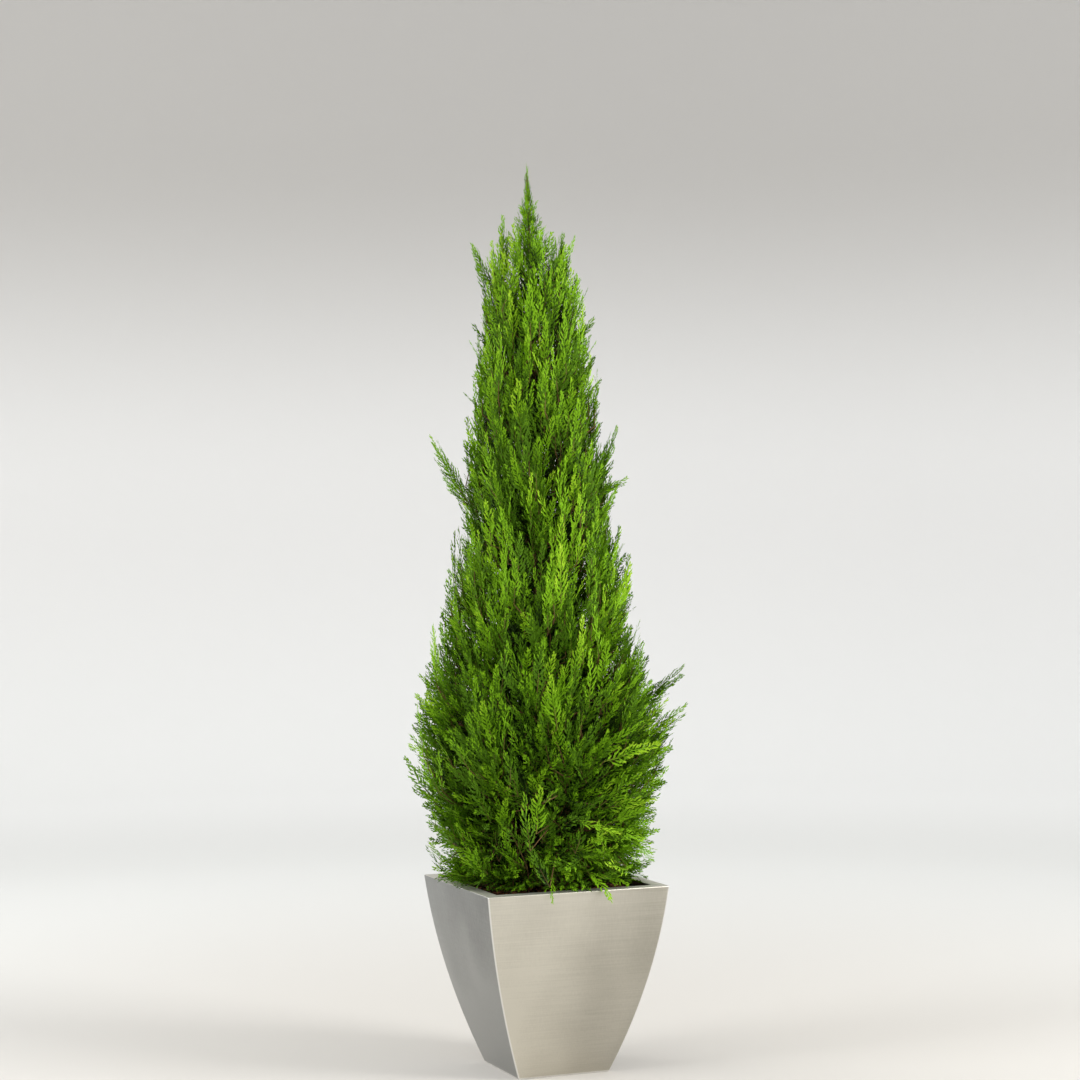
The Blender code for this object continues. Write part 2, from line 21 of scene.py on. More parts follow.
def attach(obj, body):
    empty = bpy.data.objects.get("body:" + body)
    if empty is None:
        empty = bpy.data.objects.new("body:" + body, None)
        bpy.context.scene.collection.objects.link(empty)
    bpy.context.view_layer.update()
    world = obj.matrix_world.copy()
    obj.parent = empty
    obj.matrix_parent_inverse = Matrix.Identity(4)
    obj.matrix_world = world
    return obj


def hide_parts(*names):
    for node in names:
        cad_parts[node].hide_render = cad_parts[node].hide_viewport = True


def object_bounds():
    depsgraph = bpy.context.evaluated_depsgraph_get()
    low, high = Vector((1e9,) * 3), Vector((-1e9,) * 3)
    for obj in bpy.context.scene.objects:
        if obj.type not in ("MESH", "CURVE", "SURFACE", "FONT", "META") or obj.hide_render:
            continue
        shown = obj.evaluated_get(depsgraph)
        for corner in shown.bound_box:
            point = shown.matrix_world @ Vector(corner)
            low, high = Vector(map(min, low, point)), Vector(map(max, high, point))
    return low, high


BODY = "root"
UP = Vector((0.0, 0.0, 1.0))

# ---- named sizes, as in the solids

GAP = 0.0003  # between parts that stand on each other
POT_TOP = 0.400  # across the rim
POT_FOOT = 0.203
POT_HEIGHT = 0.394
POT_BELLY = 0.56  # how curved the sides are: 0 is straight
RIM_WIDTH = 0.0295
RIM_LIP = 0.010
SHEET = 0.002
FOLD_RADIUS = 0.0035
SOIL_BELOW_RIM = 0.022
MOUND_BELOW_RIM = 0.008
MOUND_HALF = 0.055
MOUND_TOP = POT_HEIGHT - MOUND_BELOW_RIM
TRUNK_TOP = 1.735
TRUNK_RADIUS = 0.021
TRUNK_TIP_RADIUS = 0.0026
FLARE_RADIUS = 0.034
FLARE_HEIGHT = 0.045
LEAN = 0.019  # of the trunk's line at the crown's top
LEAN_TOWARDS = math.radians(158.6)
SWAY = 0.005
CROWN_TOP = 1.905
CROWN = (  # (height, radius)
    (0.412, 0.105), (0.414, 0.178), (0.432, 0.205), (0.500, 0.232), (0.600, 0.258), (0.700, 0.276),
    (0.780, 0.264), (0.860, 0.232), (0.950, 0.206), (1.110, 0.170), (1.300, 0.148), (1.500, 0.120),
    (1.660, 0.100), (1.735, 0.080), (1.770, 0.036),
)
CROWN_FOOT = CROWN[0][0]
SPRAY_LEAN = (  # (height, degrees off upright)
    (0.41, 104.0), (0.43, 88.0), (0.47, 62.0), (0.60, 47.0), (0.75, 37.0), (0.90, 24.0), (1.05, 16.0),
    (1.75, 11.0),
)
Tier = namedtuple("Tier", "count foot tip first radius has_boughs")  # first: its first limb's azimuth
TIERS = (
    Tier(7, 0.412, 0.545, 18.0, 0.0085, True),
    Tier(7, 0.480, 0.725, 42.0, 0.0080, True),
    Tier(6, 0.630, 0.925, 8.0, 0.0075, True),
    Tier(5, 0.830, 1.160, 32.0, 0.0060, False),
    Tier(5, 1.060, 1.395, 68.0, 0.0050, False),
    Tier(4, 1.310, 1.660, 73.0, 0.0040, False),
)
HEIGHT_JITTER = 0.018
AZIMUTH_JITTER = 6.0
BRANCH_ANGLE = math.radians(52.0)
BEND_REACH = 0.95  # shares of a limb's reach and of the crown's radius
STEM_REACH = 0.56
STEM_TIP_RADIUS = 0.0016
STEM_STATIONS, STEM_SIDES = 6, 4
BOUGH_SHARE = 0.34
LEADER_BELOW_TOP = 0.018
ROOTING_POINTS = 14
ROOTINGS_PAST_START, ROOTINGS_END = 0.08, 0.97
CORE_SHARES = (0.45, 0.90)
CORE_STATIONS, CORE_SIDES = 7, 6
CORE_HALF_LENGTH = 0.62
CORE_TO_TRUNK = 0.80
CORE_TO_NEIGHBOUR = 0.46
NEIGHBOUR_STATIONS = 20
SPRAYS = 326
SPRAY_LENGTH = 0.148
SPRAY_WIDTH = 0.058
SPRAY_THICKNESS = 0.0040
SPRAY_DEPTH = (0.90, 1.03)
LEAN_SPREAD = 7.0
LENGTH_SPREAD = 0.20
ROLL_SPREAD = 0.9
LEADER_SPRAYS = 15
LEADER_SPRAY_LENGTH = 0.050
LEADER_LENGTHS = (1.15, 0.45)  # the lowest spray's share of that, and how much of it is lost upwards
LEADER_FOOT = 0.9  # of that length above the trunk's top
LEADER_END = 0.8  # size of the spray at the very top against the others
LEADER_SPRAY_SCALE = 0.62
LEADER_SPRAY_ROLL = 0.5
LEADER_LEAN = (26.0, 10.0)
LEADER_RADIUS = 0.029
LEADER_CLOSING = 0.8
TWIG_ROOT_RADIUS = 0.0022
TWIG_TIP_RADIUS = 0.0013
TWIG_SHARE = 0.6
TWIG_TAPER = 0.85
BLADE_MOST = 0.85
SHORTEST_WAY = 0.6
ANGLE_OFFSET = 0.35
TWIG_SPACING = 0.018
ROOTS_TRIED = 6
ROLLS_TRIED = (0.0, 0.45, -0.45, 0.9, -0.9)
CLEARANCE = 0.0006
GOLDEN_ANGLE = math.pi * (3.0 - math.sqrt(5.0))
SEED = 11
TEETH = ((0.38, 1.0), (0.42, 0.42), (0.68, 0.70), (0.71, 0.26))
BLADE_MIDDLE = 0.28
WHIPS = (  # azimuth, height, radius, lean and length of sprays that stand out of the outline
    (158.6, 1.330, 0.222, 20.0, 0.170),
    (150.0, 1.245, 0.200, 22.0, 0.140),
    (-21.4, 1.345, 0.170, 10.0, 0.150),
    (-30.0, 1.240, 0.190, 16.0, 0.130),
    (158.6, 1.735, 0.122, 24.0, 0.100),
    (-170.0, 1.790, 0.066, 12.0, 0.090),
    (-21.4, 1.755, 0.072, 12.0, 0.090),
    (-14.0, 1.575, 0.132, 22.0, 0.120),
    (-25.0, 0.840, 0.302, 52.0, 0.150),
    (-18.0, 0.758, 0.308, 62.0, 0.150),
)
WHIP_SCALE = 0.80
WHIP_ROLL = 1.25

Tip = namedtuple("Tip", "azimuth height radius lean length scale roll")

# ---- the growth rule of the solids


def between(first, last, share):
    return first + (last - first) * share


def read_off(table, height):
    """What a table of (height, value) pairs gives at a height."""
    return float(np.interp(height, *zip(*table)))


def radial(azimuth):
    return Vector((math.cos(azimuth), math.sin(azimuth), 0.0))


def pot_half(height):
    down = 1.0 - height / POT_HEIGHT
    drawn_in = (1.0 - POT_BELLY) * down + POT_BELLY * down * down
    return (POT_TOP - (POT_TOP - POT_FOOT) * drawn_in) / 2.0


def trunk_axis(height):
    up = (height - POT_HEIGHT) / (CROWN_TOP - POT_HEIGHT)
    along = LEAN * up * up + SWAY * math.sin(2.0 * math.pi * up) * (1.0 - up)
    across = SWAY * math.sin(3.0 * math.pi * up) * (1.0 - up)
    return UP * height + radial(LEAN_TOWARDS) * along + radial(LEAN_TOWARDS + math.pi / 2.0) * across


def trunk_radius(height):
    up = (height - MOUND_TOP) / (TRUNK_TOP - MOUND_TOP)
    flare = (FLARE_RADIUS - TRUNK_RADIUS) * max(0.0, 1.0 - (height - MOUND_TOP) / FLARE_HEIGHT) ** 2
    return between(TRUNK_RADIUS, TRUNK_TIP_RADIUS, up) + flare


def crown_radius(height):
    return read_off(CROWN, height)


def crown_place(azimuth, height, radius):
    return trunk_axis(height) + radial(azimuth) * radius


class Limb:
    """A limb's curved path from inside the trunk to its tip, and the sprays that it carries."""

    def __init__(self, label, path, radius, has_bough):
        self.mass_name = "foliage_" + label
        self.bough_name = "bough_" + label if has_bough else None
        self.path = path
        self.base_radius = radius
        self.mass_start = BOUGH_SHARE if has_bough else 0.0
        shares = np.linspace(self.mass_start + ROOTINGS_PAST_START, ROOTINGS_END, ROOTING_POINTS)
        self.rootings = [(self.point(share), self.radius(share)) for share in shares]
        self.sprays = []

    def point(self, share):
        start, bend, end = self.path
        return start.lerp(bend, share).lerp(bend.lerp(end, share), share)

    def radius(self, share):
        return between(self.base_radius, STEM_TIP_RADIUS, share)

    def line(self, shares):
        return [self.point(share) for share in shares]

    def distance(self, point):
        return min((point - place).length for place, _ in self.rootings)


def plan_limbs(rng):
    """Every tier's limbs, and last the leader, which stands on the trunk's tip."""
    limbs = []
    for level, tier in enumerate(TIERS, 1):
        for place in range(tier.count):
            turn = tier.first + 360.0 * place / tier.count + rng.uniform(-AZIMUTH_JITTER, AZIMUTH_JITTER)
            outward = radial(math.radians(turn))
            foot = tier.foot + rng.uniform(-HEIGHT_JITTER, HEIGHT_JITTER)
            top = tier.tip + rng.uniform(-HEIGHT_JITTER, HEIGHT_JITTER)
            reach = STEM_REACH * crown_radius(top)
            start = trunk_axis(foot)
            rise = UP * (BEND_REACH * reach / math.tan(BRANCH_ANGLE))
            path = (start, start + outward * BEND_REACH * reach + rise, trunk_axis(top) + outward * reach)
            limbs.append(Limb(f"{level}_{place + 1}", path, tier.radius, tier.has_boughs))
    start = trunk_axis(TRUNK_TOP + GAP)
    end = trunk_axis(CROWN_TOP - LEADER_BELOW_TOP)
    limbs.append(Limb("leader", (start, start.lerp(end, 0.5), end), TRUNK_TIP_RADIUS, False))
    return limbs


def core_placing(limb, limbs):
    """Where a unit ball goes to be the small core of a limb's mass."""
    spine = limb.line(np.linspace(*CORE_SHARES, CORE_STATIONS))
    room = []
    for point in spine:
        room.append(CORE_TO_TRUNK * ((point - trunk_axis(point.z)).length - trunk_radius(point.z)))
        for other in limbs:
            if other is not limb:
                places = other.line(np.linspace(0.0, 1.0, NEIGHBOUR_STATIONS))
                room.append(CORE_TO_NEIGHBOUR * min((point - place).length for place in places))
    way = spine[-1] - spine[0]
    turn = way.to_track_quat("Z", "Y").to_matrix().to_4x4()
    sizes = Matrix.Diagonal((min(room), min(room), CORE_HALF_LENGTH * way.length, 1.0))
    return Matrix.Translation(spine[len(spine) // 2]) @ turn @ sizes


def core_tree(limb, limbs):
    """A search tree of the core of a limb's mass: a coarse ball, drawn out along the limb."""
    placing = core_placing(limb, limbs)
    rings = [[-UP]]
    for level in (-1, 0, 1):
        out, up = math.cos(level * math.pi / 4.0), math.sin(level * math.pi / 4.0)
        turns = np.arange(CORE_SIDES) * 2.0 * math.pi / CORE_SIDES
        rings.append([radial(turn) * out + UP * up for turn in turns])
    rings.append([UP])
    points, faces, starts = [], [], []
    for ring in rings:
        starts.append(len(points))
        points += [placing @ point for point in ring]
    for here, there in zip(starts, starts[1:]):
        for side in range(CORE_SIDES):
            after = (side + 1) % CORE_SIDES
            if here == starts[0]:
                faces.append((here, there + after, there + side))
            elif there == starts[-1]:
                faces.append((here + side, here + after, there))
            else:
                faces.append((here + side, here + after, there + after, there + side))
    return BVHTree.FromPolygons(points, faces)


def stem_tree(limb):
    """A search tree of the limb's stem within its mass, as a four-sided tube."""
    shares = np.linspace(limb.mass_start, 1.0, STEM_STATIONS)
    points, faces = tube(limb.line(shares), [limb.radius(share) for share in shares], STEM_SIDES)
    return BVHTree.FromPolygons([Vector(point) for point in points], faces)


def fan(hub, loop):
    return [(hub, here, there) for here, there in zip(loop, loop[1:] + loop[:1])]


class Spray:
    """The space of one plume, as the solids have it: a straight twig and a toothed blade."""

    def __init__(self, rooting, end, tip, roll):
        self.root, limb_radius = rooting
        self.end = end
        self.tip = tip
        way = end - self.root
        self.along = way.normalized()
        self.length = min(tip.length, BLADE_MOST * way.length)
        self.twig = way.length - self.length
        level = radial(tip.azimuth + math.pi / 2.0)
        level = (level - self.along * level.dot(self.along)).normalized()
        across = Matrix.Rotation(roll, 3, self.along) @ level
        self.turn = Matrix((across, self.along, across.cross(self.along))).transposed()
        self.width = SPRAY_WIDTH * tip.scale * self.length / SPRAY_LENGTH
        self.thickness = SPRAY_THICKNESS * tip.scale
        self.root_radius = min(TWIG_ROOT_RADIUS * tip.scale, TWIG_SHARE * limb_radius)
        self.neck_radius = min(TWIG_TIP_RADIUS * tip.scale, TWIG_TAPER * self.root_radius)

    def tree(self):
        """A search tree of the blade and its twig, a little larger than they are."""
        half = self.width / 2.0 + CLEARANCE
        points = []

        def add(across, along, out):
            points.append(self.root + self.turn @ Vector((across, along, out)))
            return len(points) - 1

        def ring(along, radius):
            corners = ((-radius, -0.5 * radius), (0.0, radius), (radius, -0.5 * radius))
            return [add(across, along, out) for across, out in corners]

        foot = ring(0.0, self.root_radius + CLEARANCE)
        neck = ring(self.twig, self.neck_radius + CLEARANCE)
        left = [add(-out * half, self.twig + along * self.length, 0.0) for along, out in TEETH]
        end = add(0.0, self.twig + self.length + CLEARANCE, 0.0)
        right = [add(out * half, self.twig + along * self.length, 0.0) for along, out in TEETH]
        edge = [neck[0], *left, end, *reversed(right), neck[2]]
        middle = self.twig + BLADE_MIDDLE * self.length
        front = add(0.0, middle, self.thickness / 2.0 + CLEARANCE)
        back = add(0.0, middle, -self.thickness / 2.0 - CLEARANCE)
        faces = fan(front, [*edge, neck[1]]) + fan(back, edge[::-1])
        for near, far in ((0, 1), (1, 2), (2, 0)):
            faces.append((foot[near], foot[far], neck[far]))
            faces.append((foot[near], neck[far], neck[near]))
        faces.append(tuple(reversed(foot)))
        return BVHTree.FromPolygons(points, faces)

    def rootings(self):
        """Places on its bare twig where another twig may leave it, each with the twig's radius."""
        count = int(self.twig / TWIG_SPACING)
        shares = [(step + 1) / (count + 1) for step in range(count)]
        return [(self.root + self.along * self.twig * share,
                 between(self.root_radius, self.neck_radius, share)) for share in shares]


def spiral(count):
    """Azimuth, height and radius of places on a golden-angle spiral over the crown, of equal areas."""
    outline = np.array(CROWN)
    steps = np.hypot(*np.diff(outline, axis=0).T)
    bands = steps * (outline[1:, 1] + outline[:-1, 1]) / 2.0
    areas = np.concatenate(([0.0], np.cumsum(bands)))
    for place in range(count):
        share = (place + 0.5) / count * areas[-1]
        height, radius = (float(np.interp(share, areas, side)) for side in outline.T)
        yield place * GOLDEN_ANGLE, height, radius


def crown_tips(rng):
    """Tips spread evenly over the crown's outline, and then the whips."""
    tips = []
    for azimuth, height, radius in spiral(SPRAYS):
        lean = math.radians(read_off(SPRAY_LEAN, height) + rng.gauss(0.0, LEAN_SPREAD))
        radius *= rng.uniform(*SPRAY_DEPTH)
        length = SPRAY_LENGTH * rng.uniform(1.0 - LENGTH_SPREAD, 1.0 + LENGTH_SPREAD)
        roll = rng.uniform(-ROLL_SPREAD, ROLL_SPREAD)
        tips.append(Tip(azimuth, height, radius, lean, length, 1.0, roll))
    for azimuth, height, radius, lean, length in WHIPS:
        angles = math.radians(azimuth), math.radians(lean)
        tips.append(Tip(angles[0], height, radius, angles[1], length, WHIP_SCALE, WHIP_ROLL))
    return tips


def leader_tips():
    """Small sprays up the leader, closing in to the crown's top."""
    end_length, end_scale = LEADER_END * LEADER_SPRAY_LENGTH, LEADER_END * LEADER_SPRAY_SCALE
    tips = [Tip(0.0, CROWN_TOP, 0.0, 0.0, end_length, end_scale, 0.0)]
    foot = TRUNK_TOP + LEADER_FOOT * LEADER_SPRAY_LENGTH
    for place in range(LEADER_SPRAYS):
        up = (place + 0.5) / LEADER_SPRAYS
        radius = LEADER_RADIUS * (1.0 - up) ** LEADER_CLOSING
        lean = math.radians(between(*LEADER_LEAN, up))
        length = LEADER_SPRAY_LENGTH * (LEADER_LENGTHS[0] - LEADER_LENGTHS[1] * up)
        roll = LEADER_SPRAY_ROLL * (-1) ** place
        height = between(foot, CROWN_TOP, up)
        tips.append(Tip(place * GOLDEN_ANGLE, height, radius, lean, length, LEADER_SPRAY_SCALE, roll))
    return tips


def aim(azimuth, lean):
    return radial(azimuth) * math.sin(lean) + UP * math.cos(lean)


def best_rootings(limb, tip, end):
    ranked = []
    for rooting in limb.rootings:
        way = end - rooting[0]
        if way.length > SHORTEST_WAY * tip.length:
            turned = way.angle(aim(tip.azimuth, tip.lean))
            ranked.append((way.length * (ANGLE_OFFSET + turned), rooting))
    ranked.sort(key=lambda option: option[0])
    return [rooting for _, rooting in ranked[:ROOTS_TRIED]]


class Crown:
    """Places sprays one at a time, and leaves out any that would touch a limb or another mass."""

    def __init__(self, solids):
        self.solids = solids
        self.placed = []

    def neighbours(self, spray):
        middle = spray.root.lerp(spray.end, 0.5)
        reach = (spray.end - spray.root).length / 2.0 + SPRAY_WIDTH
        return [item for item in self.placed if (item[1] - middle).length < item[2] + reach]

    def choices(self, limb, tip, end):
        found = []
        for rank, rooting in enumerate(best_rootings(limb, tip, end)):
            for turned in ROLLS_TRIED:
                spray = Spray(rooting, end, tip, tip.roll + turned)
                tree = spray.tree()
                near = self.neighbours(spray)
                crossed = sum(1 for owner, *_, other in near if owner is limb and tree.overlap(other))
                found.append((crossed, rank, abs(turned), spray, tree, near))
        return sorted(found, key=lambda choice: choice[:3])

    def place(self, limb, tip):
        end = crown_place(tip.azimuth, tip.height, tip.radius)
        for *_, spray, tree, near in self.choices(limb, tip, end):
            solids = [other for owner, other in self.solids if owner is not limb]
            solids += [other for owner, *_, other in near if owner is not limb]
            if any(tree.overlap(other) for other in solids):
                continue
            middle = spray.root.lerp(spray.end, 0.5)
            self.placed.append((limb, middle, (spray.end - spray.root).length / 2.0, tree))
            limb.sprays.append(spray)
            limb.rootings.extend(spray.rootings())
            return


def node_tree(name):
    """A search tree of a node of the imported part."""
    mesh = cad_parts[name].data
    return BVHTree.FromPolygons([v.co for v in mesh.vertices], [tuple(p.vertices) for p in mesh.polygons])


def grow():
    """The limbs of the plant with their sprays, placed by the solids' own rule."""
    rng = random.Random(SEED)
    limbs = plan_limbs(rng)
    names = ["planter", "soil", "trunk"] + [limb.bough_name for limb in limbs if limb.bough_name]
    solids = [(None, node_tree(name)) for name in names]
    solids += [(limb, stem_tree(limb)) for limb in limbs]
    solids += [(limb, core_tree(limb, limbs)) for limb in limbs[:-1]]
    crown = Crown(solids)
    for tip in leader_tips():
        crown.place(limbs[-1], tip)
    for tip in crown_tips(rng):
        end = crown_place(tip.azimuth, tip.height, tip.radius)
        middle = end - aim(tip.azimuth, tip.lean) * tip.length
        crown.place(min(limbs[:-1], key=lambda limb: limb.distance(middle)), tip)
    return limbs


# ---- mesh helpers

STEEP = 0.9  # how upright a line's start is when level can't be its first side


def ring_faces(rings, sides, closed=True):
    """Quads between rings of points, round each ring or, where it isn't closed, from end to end."""
    faces = []
    for ring in range(rings - 1):
        for at in range(sides if closed else sides - 1):
            here, after = ring * sides + at, ring * sides + (at + 1) % sides
            faces.append((here, after, after + sides, here + sides))
    return faces


def tube(points, radii, sides):
    """Points and quads of a tapering tube along a line of points."""
    line = np.array([tuple(point) for point in points])
    ways = np.gradient(line, axis=0)
    ways /= np.linalg.norm(ways, axis=1, keepdims=True)
    side = np.cross(ways[0], (0.0, 0.0, 1.0) if abs(ways[0][2]) < STEEP else (1.0, 0.0, 0.0))
    turns = np.arange(sides) * 2.0 * math.pi / sides
    rings = []
    for point, way, radius in zip(line, ways, radii):
        side = side - way * side.dot(way)
        side /= np.linalg.norm(side)
        other = np.cross(way, side)
        rings.append(point + radius * (np.outer(np.cos(turns), side) + np.outer(np.sin(turns), other)))
    return np.concatenate(rings), ring_faces(len(rings), sides)


def add_object(name, data):
    obj = bpy.data.objects.new(name, data)
    bpy.context.scene.collection.objects.link(obj)
    return obj


def add_mesh(name, points, faces, material, smooth=True):
    mesh = bpy.data.meshes.new(name)
    mesh.from_pydata(points, [], faces)
    if smooth:
        mesh.shade_smooth()
    mesh.materials.append(material)
    return add_object(name, mesh)


class Joined:
    """Many small meshes gathered into one, all of triangles or all of quads."""

    def __init__(self):
        self.points = []
        self.faces = []
        self.count = 0

    def add(self, points, faces):
        self.points.append(np.asarray(points, dtype=np.float32))
        self.faces.append(np.asarray(faces, dtype=np.int32) + self.count)
        self.count += len(points)

    def make(self, name, material, smooth=False):
        return add_mesh(name, np.concatenate(self.points), np.concatenate(self.faces), material, smooth)


# ---- shades of green, with painted light and shade


def srgb(red, green, blue):
    """A linear colour from 8-bit screen values."""
    found = []
    for value in (red, green, blue):
        share = value / 255.0
        found.append(share / 12.92 if share <= 0.04045 else ((share + 0.055) / 1.055) ** 2.4)
    return tuple(found)


# From painted deep shade inside the crown to fresh, painted-light tips; tones count from 0 in this order
SHADES = (
    ("shade", srgb(32, 54, 8)),
    ("deep", srgb(76, 114, 14)),
    ("mid", srgb(117, 165, 20)),
    ("leaf", srgb(147, 188, 36)),
    ("fresh_and_lit", srgb(177, 202, 70)),
    ("tip", srgb(204, 218, 124)),
)
BRIGHTEST = 2.0  # tone that a frond has at its root at most
TIP_TONE = 2.0  # how many tones lighter its freshest faces are: fresher growth and painted light
EXPOSED = (0.70, 1.00)  # shares of the crown's radius between which fronds turn lighter: painted light
EXPOSURE = 1.1
LOOSE_BELOW = 1.0  # height under which the crown is looser and painted darker, as shade
HIGH_LIGHTING = 0.38  # painted light of the fronds above it
LOW_SHADING = 0.20  # painted shade of the fronds at the foot of the crown


def share_below(height, top):
    """0 from the height top up, and 1 at the foot of the crown."""
    return min(1.0, max(0.0, (top - height) / (top - CROWN_FOOT)))


def daylight(height):
    """How much lighter or darker fronds are painted for their height in the crown: painted light and
    shade.
    """
    loose = share_below(height, LOOSE_BELOW)
    return HIGH_LIGHTING * (1.0 - loose) - LOW_SHADING * loose


def exposure(place):
    """How much lighter a frond is painted for standing at the outside of the crown, as painted light."""
    share = (place - trunk_axis(place.z)).xy.length / crown_radius(place.z)
    return float(np.interp(share, EXPOSED, (0.0, EXPOSURE)))


# ---- fronds

FRONDS_SEED = 5
FROND_LENGTHS = (0.045, 0.065, 0.085, 0.110, 0.140, 0.170)
FROND_KINDS = 5  # different fronds of each length
FULL_FROND = 0.140  # fronds shorter than this are narrower too
LEAST_FULLNESS = 0.50
FROND_WAVE = 0.04  # most sideways sway, as a share of the length
EVEN = (0.8, 1.2)  # least and most of a size that varies a little
RACHIS_WIDTH = 0.0024
RACHIS_STEPS = 4
RACHIS_TAPER = 0.7
RACHIS_FRESH_AND_LIT = (0.25, 0.5)  # freshness and painted light at its root, and how much it gains along it
BARBS_BETWEEN = (0.05, 0.96)  # shares of the frond's length
BARB_SPACING = 0.0058  # between barbs on alternate sides
BARB_CROWDING = 0.45  # how much closer they stand at the frond's tip
BARB_LENGTH = 0.043
BARB_LENGTHS = (0.55, 1.20)
BARB_WIDTH = 0.0046
THINNEST_BARB, SMALLEST_TOOTH = 0.35, 0.55  # where the frond is narrowest
BARB_ANGLE = math.radians(41.0)  # off the rachis where a barb starts
BARB_ANGLES = (0.75, 1.2)
BARB_CLOSING = 0.30  # how much of the angle is lost along the frond
BARB_CURL = 0.42  # how far its end turns along the rachis
BARB_ELBOW = 0.45  # share of its length where it turns
BARB_LIFT = 0.10
BARB_SPREAD = math.radians(11.0)  # how far barbs stand out of the frond's plane
BARB_TWIST = 0.35
# freshness and painted light of the barbs
BARB_FRESH_AND_LIT = (0.22, 0.38, 0.25)  # at the frond's root, gained along the frond, gained at the barb's end
OUTLINE_FOOT, OUTLINE_RISE = 0.60, 2.4  # of the frond's outline, from its root up
OUTLINE_FALL, OUTLINE_POWER = 0.80, 1.15  # and towards its tip
TOOTH_SPACING = 0.0068
TOOTH_LENGTH = 0.0080
TOOTH_WIDTH = 0.0027
TOOTH_ANGLE = math.radians(27.0)
TOOTH_ANGLES = (0.75, 1.25)
TOOTH_SHRINKING = 0.45  # along the barb
# freshness and painted light that teeth gain along their barb
TOOTH_FRESH_AND_LIT = 0.35
TOOTH_ENDS = (0.9, 1.2)  # in tooth spacings: before the first, and at both ends together
TIP_TOOTH = (0.90, 0.10)  # where the frond's last tooth starts, and its length
KITE_MIDDLE = 0.4  # of a tooth's length, where it is widest
KITE_FOLD = 0.15


